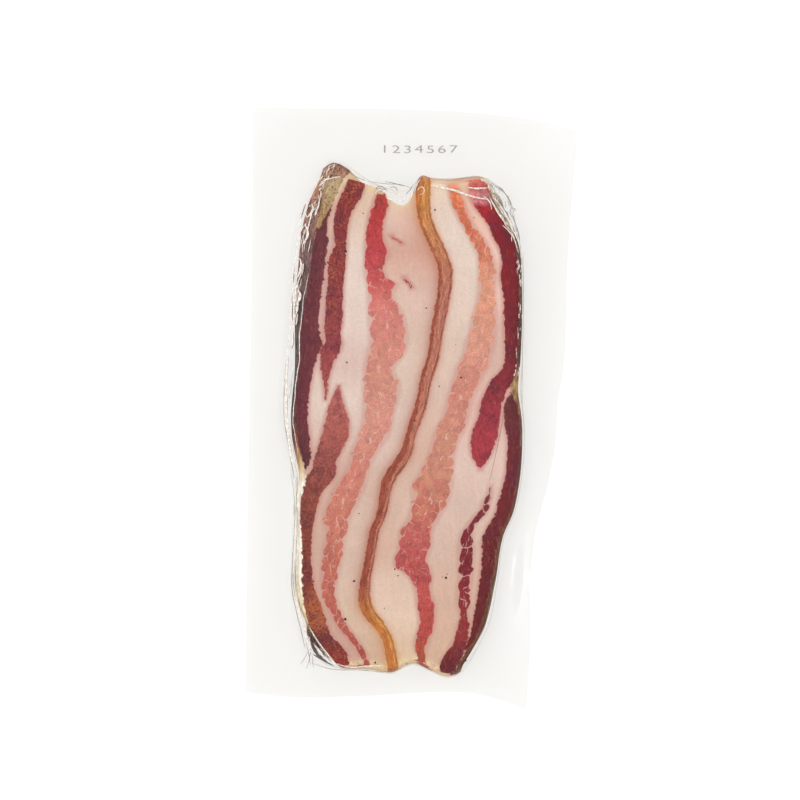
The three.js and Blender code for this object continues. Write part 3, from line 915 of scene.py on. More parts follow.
def add_slice(name, pile, level, levels, columns, rows, material):
    """One long slice, lying on those below it and sagging round its edges."""

    def place(u, v):
        x = np.zeros_like(u)
        y = FIRST_LENGTH * (v - 0.5)
        for _ in range(ROUNDS):
            left, right = slice_edges(pile, level, levels, y)
            x = left + (right - left) * u
            near, far = slice_ends(level, levels, x)
            y = near + (far - near) * v
        outer = u if pile == "left" else 1 - u
        edge = np.minimum(outer * (right - left), np.minimum(v, 1 - v) * (far - near))
        droop = EDGE_DROOP * (1 - np.sqrt(1 - (1 - np.clip(edge / EDGE_ROUND, 0, 1)) ** 2))
        top = pile_height(x, y) - SHOWN_DEPTH
        rough = SLICE_ROUGHNESS * wavering(x, y, 3.2, 6.0, 3.0 + level)
        share = (levels - level) / levels
        return x, y, BED_HEIGHT + (top + rough - droop - BED_HEIGHT) * share

    obj = bent_grid(name, columns, rows, place)
    thicken(obj, ((PILE_HEIGHT - PILE_LOSS) / levels - SLICE_GAP) * MM)
    spread_grain(obj, pile, level, levels)
    return finish_piece(obj, material, 40)


def spread_grain(obj, pile, level, levels):
    """Stores the fields that the meat's finish reads, at each point of a slice."""
    real_x, real_y, _ = points_of(obj).T
    # Each slice below the top one is cut a little further on, so its streaks have moved.
    y = real_y + CUT_SHIFT * level
    x = real_x + CUT_SWAY * np.sin(y / 19 + 2.1 * level) * min(level, 1)
    depths = np.array([streak.depth(x, y) for streak in ALL_STREAKS])
    nearest = depths.argmax(0)
    every = np.arange(len(x))
    mesh = obj.data

    def of_nearest(field, *at):
        """A field of each streak, at each point the one of the streak that it is deepest in."""
        return np.array([getattr(streak, field)(*at) for streak in ALL_STREAKS])[nearest, every]

    store(mesh, "lean", np.clip(depths[nearest, every], -FIELD_LIMIT, FIELD_LIMIT))
    store(mesh, "across", np.clip(of_nearest("across", x, y), -2, 2))
    store(mesh, "bundled", of_nearest("bundled", y))
    store(mesh, "flecked", of_nearest("flecked", y))
    from_strip = np.abs(x - LEFT_STREAKS[1].left(y) + STRIP_ASIDE)
    shade = STRIP_SHADE * ease(1.6, 0.4, from_strip) * ease(24, 30, y) * ease(84, 76, y)
    store(mesh, "fat", fat_tone(x, y) * (1 - shade[:, None] * (0.6, 1.0, 0.95)))

    left, right = slice_edges(pile, level, levels, real_y)
    hidden = UNDER_BROWNING * min(level, 1)
    from_side = left - real_x if pile == "left" else real_x - right
    outer = OUTER_SHADE * ease(-7, -0.5, from_side) * ease(-118, -100, real_y)
    store(mesh, "tone", of_nearest("tone", y) * (1 - outer[:, None] * (1.0, 1.0, 0.6)))
    bark_width, bark_tone = BARK[pile]
    corner = CORNER.depth(real_x, real_y)
    side = from_side + bark_width(real_y) + hidden
    store(mesh, "bark", np.clip(np.maximum(side, corner), -FIELD_LIMIT, FIELD_LIMIT))
    in_corner = ease(-1.5, 1.5, corner - side)[:, None]
    store(mesh, "peppered", in_corner[:, 0] * ease(-3, 1, corner))
    store(mesh, "bark_tone", bark_tone(real_y) * (1 - in_corner) + CORNER.tone(real_y) * in_corner)

    rind = rind_across(real_x, real_y)
    store(mesh, "rind", np.clip(rind, -4, 4))
    store(mesh, "rind_core", np.clip(rind - rind_light_from(real_y), -4, 4))
    away = np.maximum(np.abs(rind) - 1, 0) * rind_half_width(real_y)
    glow_reach = np.interp(real_y, (56, 72, 88, 97), (2.4, 4.2, 4.4, 2.4))
    store(mesh, "glow", np.where(rind < 0, 0.85 * np.exp(-away / glow_reach), 0.6 * np.exp(-away / 1.2)))
    amber_far = np.interp(real_y, (55, 70, 80, 90, 98), (0, 0.25, 0.5, 0.75, 1))
    amber_near = np.interp(real_y, (-100, -92, -82), (1, 0.7, 0))
    store(mesh, "amber", np.maximum(amber_far, amber_near))
    near, far = slice_ends(level, levels, real_x)
    at_far_end = (0.35 + 0.6 * ease(0, -14, real_x)) * ease(4, 0.5, far - real_y)
    store(mesh, "cream", np.maximum(at_far_end, ease(4.5, 0.5, real_y - near)))


def band_grid(bands_across, bands_along):
    """place(u, v) for a grid whose columns and rows follow lines; each band is (line, cells)."""
    lines_x, cells_x = zip(*bands_across)
    lines_y, cells_y = zip(*bands_along)

    def split(share, cells):
        counts = np.array(cells[:-1], float)
        starts = np.concatenate(([0], np.cumsum(counts)))
        at = share * starts[-1]
        band = np.clip(np.searchsorted(starts, at + 1e-6, side="right") - 1, 0, len(counts) - 1)
        return band, (at - starts[band]) / counts[band]

    def place(u, v):
        band_x, share_x = split(u, cells_x)
        band_y, share_y = split(v, cells_y)
        x, y = np.zeros_like(u), np.zeros_like(v)
        every = np.arange(len(u))
        for _ in range(10):
            along = np.array([line(y) for line in lines_x])
            x = along[band_x, every] * (1 - share_x) + along[band_x + 1, every] * share_x
            across = np.array([line(x) for line in lines_y])
            y = across[band_y, every] * (1 - share_y) + across[band_y + 1, every] * share_y
        return x, y, band_x, share_x, band_y, share_y

    return place


FILM_ACROSS = (
    (border_left, 14), (foot_left, 30), (shoulder_left, 56), (shoulder_right, 10),
    (foot_right, 14), (border_right, 0),
)
FILM_ALONG = (
    (border_near, 12), (foot_near, 12), (shoulder_near, 190), (shoulder_far, 14),
    (foot_far, 20), (border_far, 0),
)
FILM_COLUMNS = sum(cells for _, cells in FILM_ACROSS)
FILM_ROWS = sum(cells for _, cells in FILM_ALONG)
LEFT_WALL, RIGHT_WALL, NEAR_WALL, FAR_WALL = 1, 3, 1, 3
# The share of a wall's width at which the film has risen to the pile's top.
LEFT_TOP, NEAR_TOP, FAR_TOP = 0.85, 0.6, 0.82
FILM_RELIEF = 0.7  # how much of the pile's relief shows in the film
# Heights of the wrinkles on the side walls, on the end walls, round the foot, and over the border.
WALL_WRINKLE, END_WRINKLE, FOOT_WRINKLE, BORDER_RIPPLE = 0.34, 0.4, 0.15, 0.12


def wall_rise(share, at_top):
    """The film's rise up a wall, from 0 at its foot to 1 at this share of it."""
    return np.clip(share / at_top, 0, 1)


def border_ripple(x, y, gap):
    """Slow ripples of the border, at a gap from the pile's foot."""
    return BORDER_RIPPLE * ease(2, 12, gap) * wavering(x, y, 14, 30, 2.0)


def upper_film_place(u, v):
    x, y, band_x, share_x, band_y, share_y = band_grid(FILM_ACROSS, FILM_ALONG)(u, v)
    rise_x = np.where((band_x > LEFT_WALL) & (band_x < RIGHT_WALL), 1.0, 0.0)
    rise_x = np.where(band_x == LEFT_WALL, wall_rise(share_x, LEFT_TOP) ** 0.9, rise_x)
    rise_x = np.where(band_x == RIGHT_WALL, np.sqrt(1 - np.clip(share_x, 0, 1) ** 2), rise_x)
    rise_y = np.where((band_y > NEAR_WALL) & (band_y < FAR_WALL), 1.0, 0.0)
    rise_y = np.where(band_y == NEAR_WALL, wall_rise(share_y, NEAR_TOP) ** 0.75, rise_y)
    rise_y = np.where(band_y == FAR_WALL, wall_rise(1 - share_y, FAR_TOP) ** 0.75, rise_y)
    rise = rise_x * rise_y
    border = border_height(x, y)
    z = border + (pile_height(x, y, FILM_RELIEF) - border) * rise

    # Wrinkles run along the stepped side and down the ends, and fan out over the border.
    on_wall = np.clip(5 * rise * (1 - rise), 0, 1)
    side = np.where(band_x == LEFT_WALL, 1.0, 0.2)
    ridged = 1 - 2 * np.abs(wavering(x, y, 1.1, 9, 5.0)) + 0.5 * wavering(x, y, 0.8, 3.5, 9.0)
    z = z + WALL_WRINKLE * on_wall * side * ridged
    end_wall = np.where((band_y == NEAR_WALL) | (band_y == FAR_WALL), 1.0, 0.0)
    z = z + END_WRINKLE * on_wall * end_wall * (1 - 2 * np.abs(wavering(x, y, 1.6, 5, 8.0)))
    gap = outside_foot(x, y)
    fan = np.exp(-gap / 2.5) * (gap > 0)
    z = z + FOOT_WRINKLE * fan * wavering(x, y, 1.6, 1.6, 11.0)
    return x, y, z + border_ripple(x, y, gap)


LOWER_ACROSS = (
    (border_left, 16), (foot_left, 3), (shoulder_left, 20), (shoulder_right, 3), (foot_right, 16),
    (border_right, 0),
)
LOWER_ALONG = (
    (border_near, 12), (foot_near, 3), (shoulder_near, 60), (shoulder_far, 3), (foot_far, 20),
    (border_far, 0),
)
LOWER_COLUMNS = sum(cells for _, cells in LOWER_ACROSS)
LOWER_ROWS = sum(cells for _, cells in LOWER_ALONG)
LOWER_HEIGHT = 0.14
SEAL_GAP = 0.16  # how far below the upper film's face the lower film's is
RIM = 3.0  # the lower film turns up to the seal within this distance


def lower_film_place(u, v):
    x, y, *_ = band_grid(LOWER_ACROSS, LOWER_ALONG)(u, v)
    gap = outside_foot(x, y)
    sealed = border_height(x, y) + border_ripple(x, y, gap) - SEAL_GAP
    return x, y, LOWER_HEIGHT + (sealed - LOWER_HEIGHT) * ease(0, RIM, gap)


RAY_START = 0.05  # metres, above everything


def film_surface(film):
    """A function that gives the film's upper face at x and y, in millimetres."""
    tree = BVHTree.FromObject(film, bpy.context.evaluated_depsgraph_get())

    def height(x, y):
        hit = tree.ray_cast(Vector((x * MM, y * MM, RAY_START)), Vector((0, 0, -1)))[0]
        return hit.z / MM if hit else 0.0

    return height


RIBBON_THICKNESS, RIBBON_LIFT, RIBBON_CROWN, RIBBON_TIP = 0.03, 0.05, 0.25, 0.02
RIBBON_COLUMNS = 4
STEP_AHEAD = 0.01  # the step along a path that gives its direction


def add_ribbon(path, width, surface, rows):
    """A thin crease lying on the film along path(share), pointed at both ends."""

    def place(u, v):
        points = np.array([path(share) for share in v])
        ahead = np.array([path(share + STEP_AHEAD) for share in v]) - points
        normal = np.stack([-ahead[:, 1], ahead[:, 0]], axis=-1)
        normal /= np.maximum(np.hypot(*normal.T), 1e-9)[:, None]
        taper = np.sqrt(np.clip(np.sin(np.pi * v), 0, 1)) * width + RIBBON_TIP
        x, y = (points + normal * ((u - 0.5) * taper)[:, None]).T
        z = np.array([surface(a, b) for a, b in zip(x, y)])
        return x, y, z + RIBBON_LIFT + RIBBON_CROWN * taper * (1 - (2 * u - 1) ** 2)

    obj = bent_grid("ribbon", RIBBON_COLUMNS, rows, place)
    thicken(obj, RIBBON_THICKNESS * MM)
    return obj


def join_as(name, pieces):
    only_select(pieces[0])
    for piece in pieces:
        piece.select_set(True)
    bpy.ops.object.join()
    bpy.context.object.name = bpy.context.object.data.name = name
    return bpy.context.object


def curve_path(*points):
    """path(share) through (x, y) points, evenly by their number."""
    shares = np.linspace(0, 1, len(points))
    line_x = through(*zip(shares, [x for x, _ in points]))
    line_y = through(*zip(shares, [y for _, y in points]))
    return lambda share: (float(line_x(share)), float(line_y(share)))


LEFT_SIDE = (shoulder_left, foot_left)
RIGHT_SIDE = (shoulder_right, foot_right)


def wall_path(start, length, reach, sway, phase, aside=0.0, side=LEFT_SIDE, swell=0.0):
    """path(share) along a side wall, at a share of the way from shoulder to foot."""

    def path(share):
        y = start - length * share
        shoulder, foot = (float(line(y)) for line in side)
        bend = math.sin(phase + length * share / 3) + 0.4 * math.sin(2 * phase + length * share / 1.3)
        across = reach + swell * math.sin(math.pi * share)
        return shoulder + (foot - shoulder) * across + sway * bend + aside, y

    return path


# Pointed loops of film on the left wall, painted as glints: (start, length, share of the way down, half width
# as a share).
LOOPS = (
    (94, 6.5, 0.62, 0.2), (85, 10, 0.62, 0.2), (69, 9, 0.66, 0.16), (54, 6, 0.5, 0.14),
    (44, 8, 0.7, 0.14),
)
LOOP_SIDES = ((1, 0.34), (-1, 0.95))  # the way that a side bulges, and its width
LOOP_SWAY = 0.3

# Long folds on the left wall, painted as glints and one as a shade line: (finish, what wall_path takes,
# width, rows of cells).
LONG_FOLDS = (
    ("bright", (62, 84, 0.1, 0.22, 1.0), 0.34, 160),
    ("bright", (104, 100, 0.9, 0.2, 4.0), 0.34, 160),
    ("bright", (66, 30, 0.5, 0.6, 2.0), 0.6, 80),
    ("dark", (66, 30, 0.5, 0.6, 2.0, 0.45), 0.4, 80),
)
# Tufts of short creases at the corners, painted as glints and as shade lines: the line that they lie along as
# (x, y, x, y), how far off it they stray, the way that they lean in radians, half their length, their number
# and their finish.
TUFTS = (
    ((-46, -105, -39, -116), 1.3, 2.2, 1.5, 14, "bright"),
    ((-46, -106, -39, -117), 1.3, 2.2, 1.2, 10, "dark"),
    ((-40, 105, -34, 112.6), 2.2, 1.0, 1.1, 9, "dark"),
    ((-42, 103, -36, 111.6), 2.0, 1.0, 1.2, 16, "bright"),
    ((-45.4, 86, -41.4, 103), 1.5, 1.25, 1.1, 26, "bright"),
    ((-45.4, 86, -41.4, 103), 1.5, 1.25, 1.0, 18, "dark"),
)
# How many creases lie at random on the left wall, the right edge, the far right corner, and the floor
# side of the left wall.
WALL_CREASES, EDGE_CREASES, CORNER_CREASES, PAINTED_FAINT_SHADE_CREASES = 26, 64, 54, 18
# The share of loops and of wall creases that have a dark line of painted shade beside them.
PAINTED_SHADE_BY_LOOPS, PAINTED_SHADE_BY_CREASES = 0.7, 0.8
CREASE_SEED = 3

# Sharp folds of the film, drawn as painted glints: (width, points).
PAINTED_GLINT_FOLDS = (
    (0.9, ((9, 102.4), (14, 101.3), (20, 100), (28, 97.2), (35.5, 95.8))),
    (0.7, ((26, 101.4), (30, 100.9), (35.5, 101.2))),
    (0.5, ((33, 97.5), (35, 96), (36.5, 94), (37, 91))),
    (0.6, ((-10, 100.5), (-6, 98.5), (-2, 95.6))),
    (0.5, ((-10.5, 100.3), (-11, 97), (-9.5, 95.8), (-2.5, 95.2))),
    (0.5, ((-34, -117.5), (-28, -119.2), (-20, -118.6), (-12, -118.2))),
    (0.6, ((36, 97), (37.6, 94), (40, 89.6), (43, 85.4), (45, 84))),
    (0.6, ((37, 97.6), (40.4, 94), (43, 89.6), (46, 85), (49.2, 79), (50.2, 74))),
    (0.4, ((35.4, 104.6), (38.6, 101.4), (42.6, 98.6), (45, 95))),
    (0.5, ((42, 84), (44.6, 81.6), (47.4, 77.6), (49.4, 71))),
    (0.6, ((-46.6, -101), (-43, -107), (-38.6, -112.8), (-34.4, -117.8))),
    (0.5, ((-48.4, -103), (-47, -109), (-45.6, -114), (-44.8, -118))),
    (0.7, ((-49.4, -99), (-48.8, -104), (-46.6, -108), (-45.6, -112.4))),
    (0.9, ((-54, -86), (-51.4, -94), (-49.2, -101), (-48.2, -106))),
    (0.5, ((-46.4, -108.6), (-43, -112.4), (-40, -114.2))),
    (1.1, ((-56.6, 24), (-57.6, 8), (-57.2, -6), (-55.6, -20), (-54.4, -27))),
    (0.5, ((-42.6, 102), (-40, 104.6), (-36.4, 105.6), (-32, 106.4))),
    (0.5, ((1.6, 99.4), (2.6, 102.6), (4.4, 105.4))),
    (0.5, ((-16.6, 98), (-15.6, 99.8), (-13.4, 100.2), (-11.6, 98.6))),
    (0.4, ((3, 100), (4.4, 101.6), (6, 100.6), (5.6, 98.6), (4, 98))),
)
# Painted shade: dark lines beside the sharp folds at the corners.
PAINTED_SHADE_FOLDS = (
    (0.4, ((37.4, 95.6), (40, 91.6), (42.4, 88), (44, 85.4))),
    (0.3, ((39, 96.4), (42, 92.6), (45, 87.6), (47, 83.6))),
    (0.26, ((35.6, 105.4), (38.8, 102.2), (42.4, 99.6), (45.2, 96), (46.6, 91.4))),
    (0.24, ((46.4, 90.4), (48, 85.4), (49.8, 79.4), (50.4, 73))),
    (0.3, ((-16.4, 100.4), (-14.8, 102), (-12.6, 101.6), (-11, 99.6))),
    (0.26, ((-15.6, 101.4), (-13.6, 100.6), (-11.6, 100.6))),
    (0.24, ((1, 98.6), (2, 101.4), (3.4, 103.6), (5.4, 106.2))),
    (0.2, ((-2.4, 98.4), (-0.4, 100.4), (0.8, 102.6))),
    (0.24, ((-9.8, 101.6), (-7.4, 101.8), (-6, 99.8))),
    (0.2, ((-12, 104.4), (-8, 103.6), (-3, 102.2))),
    (0.4, ((-46.4, -103.4), (-43.6, -108.6), (-40.6, -112.4), (-36.4, -117))),
    (1.7, ((-46.4, -105), (-44.8, -110.4), (-41.8, -114.6), (-38.4, -117))),
    (0.6, ((-45.4, -107.6), (-44.6, -111), (-42.6, -114.4))),
    (0.8, ((-45.4, -113.4), (-42, -115.2), (-38.4, -117.2), (-35.4, -118.6))),
    (0.3, ((-47.4, -101.6), (-46.2, -106), (-46, -110.4), (-46.4, -114))),
    (0.26, ((-33, 112.6), (-29.6, 109.6), (-25.4, 106.4), (-21, 104.6))),
)
# Smoky lines of painted faint shade along the film's folds, that show on the white floor beside the piles.
PAINTED_FAINT_SHADE_FOLDS = (
    (0.22, ((-55.5, -28), (-53.5, -45), (-54, -60), (-54.5, -75), (-53, -90))),
    (0.25, ((-53.2, -33), (-52.4, -50), (-52.8, -66), (-53, -80), (-51, -92), (-49, -102))),
    (0.34, ((-54.6, -66), (-55, -82), (-53, -93), (-50.6, -103), (-48.8, -111))),
    (0.2, ((-57.6, 22), (-58.5, 8), (-58.3, -6), (-56, -20), (-54, -30))),
    (0.3, ((-56.3, 24), (-57.4, 6), (-57, -8), (-54.6, -22))),
    (0.24, ((-48.4, -108), (-47, -114), (-46.4, -118.6))),
    (0.18, ((-47.4, -112), (-49.4, -116), (-51, -118))),
    (0.18, ((-46.4, -113), (-47.2, -117), (-48.4, -120.4))),
    (0.18, ((-45.4, -114), (-45.4, -117.4), (-44.8, -119.6))),
    (0.22, ((-46, -117.6), (-36, -120.4), (-24, -120.8), (-12, -121.4), (-4, -119.5))),
    (0.2, ((51.6, 72), (51.9, 50), (51.4, 25), (51.2, 4), (52, -12))),
    (0.18, ((38.6, -78), (36.5, -88), (34.6, -98), (32, -105))),
    (0.2, ((37, 104.6), (42, 100.4), (45.6, 95.6), (48, 87.4))),
    (1.3, ((37.6, 98.6), (39.6, 97.4), (41.4, 94.6), (42.4, 92))),
    (0.8, ((39, 92.6), (41.6, 89), (44, 86.6), (46, 82))),
    (0.16, ((42.8, 0), (41.6, -8), (39.8, -17), (37.6, -27), (35.8, -34.6))),
    (0.2, ((-20, 104.5), (-12, 103.4), (-5, 103), (0, 101.4))),
    (0.2, ((10, 105.6), (18, 104.8), (26, 106.4), (36, 105.8))),
)


# The folds with a place of their own: (finish, folds, rows of cells in each).
FOLDS = (("bright", PAINTED_GLINT_FOLDS, 40), ("dark", PAINTED_SHADE_FOLDS, 40), ("smoky", PAINTED_FAINT_SHADE_FOLDS, 60))

# The finishes of the creases, painted glints, painted faint shade and painted shade: (finish, its name, light
# colour, dark colour, how much it hides).
CREASE_FINISHES = (
    ("bright", "Painted glint crease", painted(255, 252, 246), painted(240, 218, 202), 0.95),
    ("smoky", "Painted faint shade crease", (0.2, 0.17, 0.12, 1), (0.45, 0.36, 0.2, 1), 0.7),
    ("dark", "Painted shade crease", painted(34, 22, 18), painted(96, 66, 54), 0.9),
)


def lay_loops(lay, draw):
    """Pairs of painted glint ribbons that bow apart and meet again at both ends, most with a painted shade
    line beside them.
    """
    for start, length, reach, swell in LOOPS:
        for turn, width in LOOP_SIDES:
            phase = draw.uniform(0, 6)
            bulge = turn * swell
            lay("bright", wall_path(start, length, reach, LOOP_SWAY, phase, swell=bulge), width, 24)
            if draw.random() < PAINTED_SHADE_BY_LOOPS:
                short = length * draw.uniform(0.4, 0.8)
                path = wall_path(start - 0.5, short, reach, LOOP_SWAY, phase, turn * 0.55, swell=bulge)
                lay("dark", path, draw.uniform(0.2, 0.45), 24)


def lay_wall_creases(lay, draw):
    """Short creases with painted glints down the left wall, most with a painted shade line beside them."""
    for _ in range(WALL_CREASES):
        start = draw.triangular(28, 102, 60)
        length, reach = draw.uniform(3, 11), draw.uniform(0.1, 1.0)
        sway, phase = draw.uniform(-0.4, 0.4), draw.uniform(0, 6)
        width = draw.uniform(0.16, 0.8)
        lay("bright", wall_path(start, length, reach, sway, phase), width, 16)
        if draw.random() < PAINTED_SHADE_BY_CREASES:
            path = wall_path(start, length, reach, sway, phase, 0.16 + width * 0.6)
            lay("dark", path, 0.1 + width * 0.5, 16)


def lay_edge_creases(lay, draw):
    """Tiny nicks of painted glint and painted shade down the right edge."""
    for index in range(EDGE_CREASES):
        y = draw.uniform(12, 84)
        x = float(shoulder_right(y)) + draw.uniform(-0.9, 1.3)
        bend = draw.uniform(-0.5, 0.5)
        points = (x, y), (x + bend, y - 0.7), (x + 0.4 * bend, y - draw.uniform(1.2, 3.2))
        lay("dark" if index % 2 else "bright", curve_path(*points), draw.uniform(0.18, 0.36), 8)


def lay_tufts(lay, draw):
    """Short creases, side by side, where the film is gathered at a corner, painted as glints and as shade
    lines.
    """
    for (from_x, from_y, to_x, to_y), off, turn, reach, count, finish in TUFTS:
        for _ in range(count):
            place, aside = draw.random(), draw.uniform(-off, off)
            middle_x = from_x + (to_x - from_x) * place + aside
            middle_y = from_y + (to_y - from_y) * place + draw.uniform(-0.6, 0.6)
            lean_to = turn + draw.uniform(-0.5, 0.5)
            out_x, out_y = reach * math.cos(lean_to), reach * math.sin(lean_to)
            bend = draw.uniform(-0.5, 0.5)
            points = (
                (middle_x - out_x, middle_y - out_y), (middle_x + bend, middle_y),
                (middle_x + out_x, middle_y + out_y),
            )
            lay(finish, curve_path(*points), draw.uniform(0.14, 0.4), 8)


def lay_corner_creases(lay, draw):
    """Fine lines down the wall at the far right corner: two in three painted shade, one in three painted
    glint.
    """
    for index in range(CORNER_CREASES):
        start, reach = draw.uniform(79, 105), draw.uniform(-0.1, 1.05)
        path = wall_path(
            start, draw.uniform(1.5, 6), reach, draw.uniform(-0.6, 0.6), draw.uniform(0, 6),
            side=RIGHT_SIDE, swell=draw.uniform(-0.2, 0.2),
        )
        lay("dark" if index % 3 else "bright", path, draw.uniform(0.12, 0.34), 14)


def lay_painted_faint_shade_creases(lay, draw):
    """Faint lines of painted shade low on the left wall."""
    for _ in range(PAINTED_FAINT_SHADE_CREASES):
        start = draw.uniform(-92, 20)
        length, reach = draw.uniform(5, 16), draw.uniform(0.4, 0.9)
        path = wall_path(start, length, reach, draw.uniform(-0.4, 0.4), draw.uniform(0, 6))
        lay("smoky", path, draw.uniform(0.1, 0.22), 20)


DIGITS = "1234567"
DIGITS_LEFT, DIGITS_RIGHT, DIGITS_BASE = -12.5, 21.5, 117.6
DIGIT_SPACING, DIGIT_WAVE = 1.25, 0.12
INK_LIFT, INK_THICKNESS = 0.04, 0.03


def add_digits(height, surface):
    """A row of plain digits lying on the film."""
    bpy.ops.object.select_all(action="DESELECT")
    bpy.ops.object.text_add()
    obj = bpy.context.object
    obj.data.body = DIGITS
    obj.data.size = 1
    obj.data.offset = -0.004
    obj.data.extrude = 0.02
    obj.data.space_character = DIGIT_SPACING
    bpy.ops.object.convert(target="MESH")
    points = points_of(obj) * MM
    low, high = points.min(0), points.max(0)
    share = (points - low) / (high - low)
    x = DIGITS_LEFT + share[:, 0] * (DIGITS_RIGHT - DIGITS_LEFT)
    y = DIGITS_BASE + share[:, 1] * height / MM + DIGIT_WAVE * np.sin(x / 2.3)
    z = np.array([surface(a, b) for a, b in zip(x, y)]) + INK_LIFT + INK_THICKNESS * share[:, 2]
    obj.data.vertices.foreach_set("co", (np.stack([x, y, z], axis=-1) * MM).ravel())
    obj.data.update()
    obj.name = obj.data.name = "printed_digits"
    return obj


# Grains of pepper under the film: (x, y, size).
PEPPER = (
    (11, 91, 0.5), (-30, 72, 0.75), (7, 46, 0.42), (23, 14, 0.5), (7, 2, 0.42), (-30.2, -97, 0.9),
    (-26.2, -79.5, 0.55), (-7.5, -74, 0.55), (-6, -77, 0.42), (16, -78, 0.7), (-16.5, -117, 0.5),
    (3.5, -115.5, 0.5), (25, -116, 0.6), (-29.5, 21, 0.4), (-22, 89.5, 0.35), (-24, -48.5, 0.35),
    (-28.6, -38, 0.3), (13, 10, 0.3), (20.5, 29, 0.3), (24.5, -23.5, 0.3), (-12.3, -92, 0.3),
    (-37.5, 88.5, 0.5), (-44.5, 96, 0.5), (-47, 92, 0.5), (49, 40, 0.45), (48.8, 25, 0.5),
    (29, 87.5, 0.35), (27, -112.5, 0.45), (-2, -117.6, 0.4), (16.6, -76.2, 0.3), (14.4, -77.6, 0.3),
)
PEPPER_SEED = 8
PEPPER_PRESSED = 0.55  # the height that the film leaves a grain, as a share


def add_pepper():
    """Cracked grains of pepper, pressed flat by the film."""
    grains = []
    draw = random.Random(PEPPER_SEED)
    for index, (x, y, size) in enumerate(PEPPER):
        bpy.ops.object.select_all(action="DESELECT")
        bpy.ops.mesh.primitive_ico_sphere_add(subdivisions=2, radius=size * 0.9)
        obj = bpy.context.object
        points = points_of(obj) * MM
        rough = [0.75 + 0.5 * noise.noise(Vector(p) * 2.4 + Vector((index, 0, 0))) for p in points]
        points *= np.array(rough)[:, None]
        points *= (draw.uniform(0.8, 1.3), draw.uniform(0.9, 1.6), PEPPER_PRESSED)
        turn = Matrix.Rotation(draw.uniform(0, math.pi), 3, "Z")
        top = float(pile_height(np.array([x]), np.array([y]))[0]) - SHOWN_DEPTH
        points = points @ np.array(turn) + (x, y, top + 0.1 * size)
        obj.data.vertices.foreach_set("co", (points * MM).ravel())
        obj.data.update()
        grains.append(obj)
    return join_as("pepper_grains", grains)


class BaconSizes(bpy.types.PropertyGroup):
    """Sizes that a user would change."""

    slice_levels: bpy.props.IntProperty(
        name="Slices in a pile", description="How many slices lie on each other", default=5, min=2, max=9
    )
    film_thickness: bpy.props.FloatProperty(
        name="Film thickness", description="Thickness of each of the two films",
        default=0.12 * MM, min=0.02 * MM, max=0.4 * MM, precision=5, unit="LENGTH",
    )
    digit_height: bpy.props.FloatProperty(
        name="Digit height", description="Height of the printed digits",
        default=3.5 * MM, min=1 * MM, max=8 * MM, precision=4, unit="LENGTH",
    )


def colour_property(name, description, red, green, blue):
    return bpy.props.FloatVectorProperty(
        name=name, description=description, subtype="COLOR", size=3, min=0, max=1,
        default=painted(red, green, blue)[:3],
    )


class BaconColours(bpy.types.PropertyGroup):
    """Colours that a user would change."""

    blush: colour_property("Blush", "Fat close to lean", 200, 142, 132)
    cream: colour_property("Cream fat", "Fat at the ends of the slices", 230, 208, 166)
    seam: colour_property("Seam", "Thin fat between muscle bundles", 236, 192, 176)
    ochre: colour_property("Ochre", "Golden patches in pale lean", 216, 162, 122)
    brown_fleck: colour_property("Brown fleck", "Brown patches in dark lean", 176, 98, 62)
    dusky: colour_property("Dusky lean", "Purple patches in dark lean", 84, 30, 52)
    pale_fleck: colour_property("Pale fleck", "Short pale fibres in lean", 206, 132, 126)
    toasted: colour_property("Toasted", "Brown patches of the peppered corner", 150, 104, 76)
    speck: colour_property("Speck", "Dark specks in the browned edge", 60, 42, 32)
    rind: colour_property("Rind", "Light side of the rind", 186, 116, 96)
    rind_dark: colour_property("Dark rind", "Dark side of the rind", 154, 74, 54)
    rind_edge: colour_property("Rind edge", "Dark lines of the rind", 138, 62, 46)
    rind_glow: colour_property("Rind glow", "Fat that the rind shows through", 190, 118, 98)
    amber: colour_property("Amber rind", "Light side of the rind at the ends", 208, 141, 71)
    amber_dark: colour_property("Dark amber", "Dark side of the rind at the ends", 192, 116, 54)
    amber_edge: colour_property("Amber edge", "Dark lines of the rind at the ends", 176, 100, 48)
    amber_glow: colour_property("Amber glow", "Fat beside the rind at the ends", 210, 146, 96)
    ink: colour_property("Ink", "Printed digits", 140, 132, 120)
    ink_thin: colour_property("Thin ink", "Worn patches of the digits", 196, 190, 180)


class BACON_OT_piles(bpy.types.Operator):
    """Two piles of marbled slices, rind to rind"""

    bl_idname = "bacon.piles"
    bl_label = "Piles of Slices"

    def execute(self, context):
        levels = context.scene.bacon_sizes.slice_levels
        material = meat_material(colours_of(context.scene))
        for pile in ("left", "right"):
            for level in range(levels):
                cells = FINE_CELLS if level in (0, levels - 1) else COARSE_CELLS
                add_slice(f"slice_{pile}_{level + 1}", pile, level, levels, *cells, material)
        finish_piece(add_pepper(), pepper_material(), 30)
        return {"FINISHED"}


class BACON_OT_film(bpy.types.Operator):
    """The upper film drawn over the piles and the flat lower film, sealed all round"""

    bl_idname = "bacon.film"
    bl_label = "Vacuum Film"

    def execute(self, context):
        top_film = film_material("Clear vacuum film", UPPER_CLEARNESS)
        base_film = film_material("Clear base film", LOWER_CLEARNESS)
        thickness = context.scene.bacon_sizes.film_thickness
        upper = bent_grid("film_upper", FILM_COLUMNS, FILM_ROWS, upper_film_place)
        lower = bent_grid("film_lower", LOWER_COLUMNS, LOWER_ROWS, lower_film_place)
        for film, material in ((upper, top_film), (lower, base_film)):
            thicken(film, thickness)
            finish_piece(film, material, 60)
        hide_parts(SOLID)
        return {"FINISHED"}


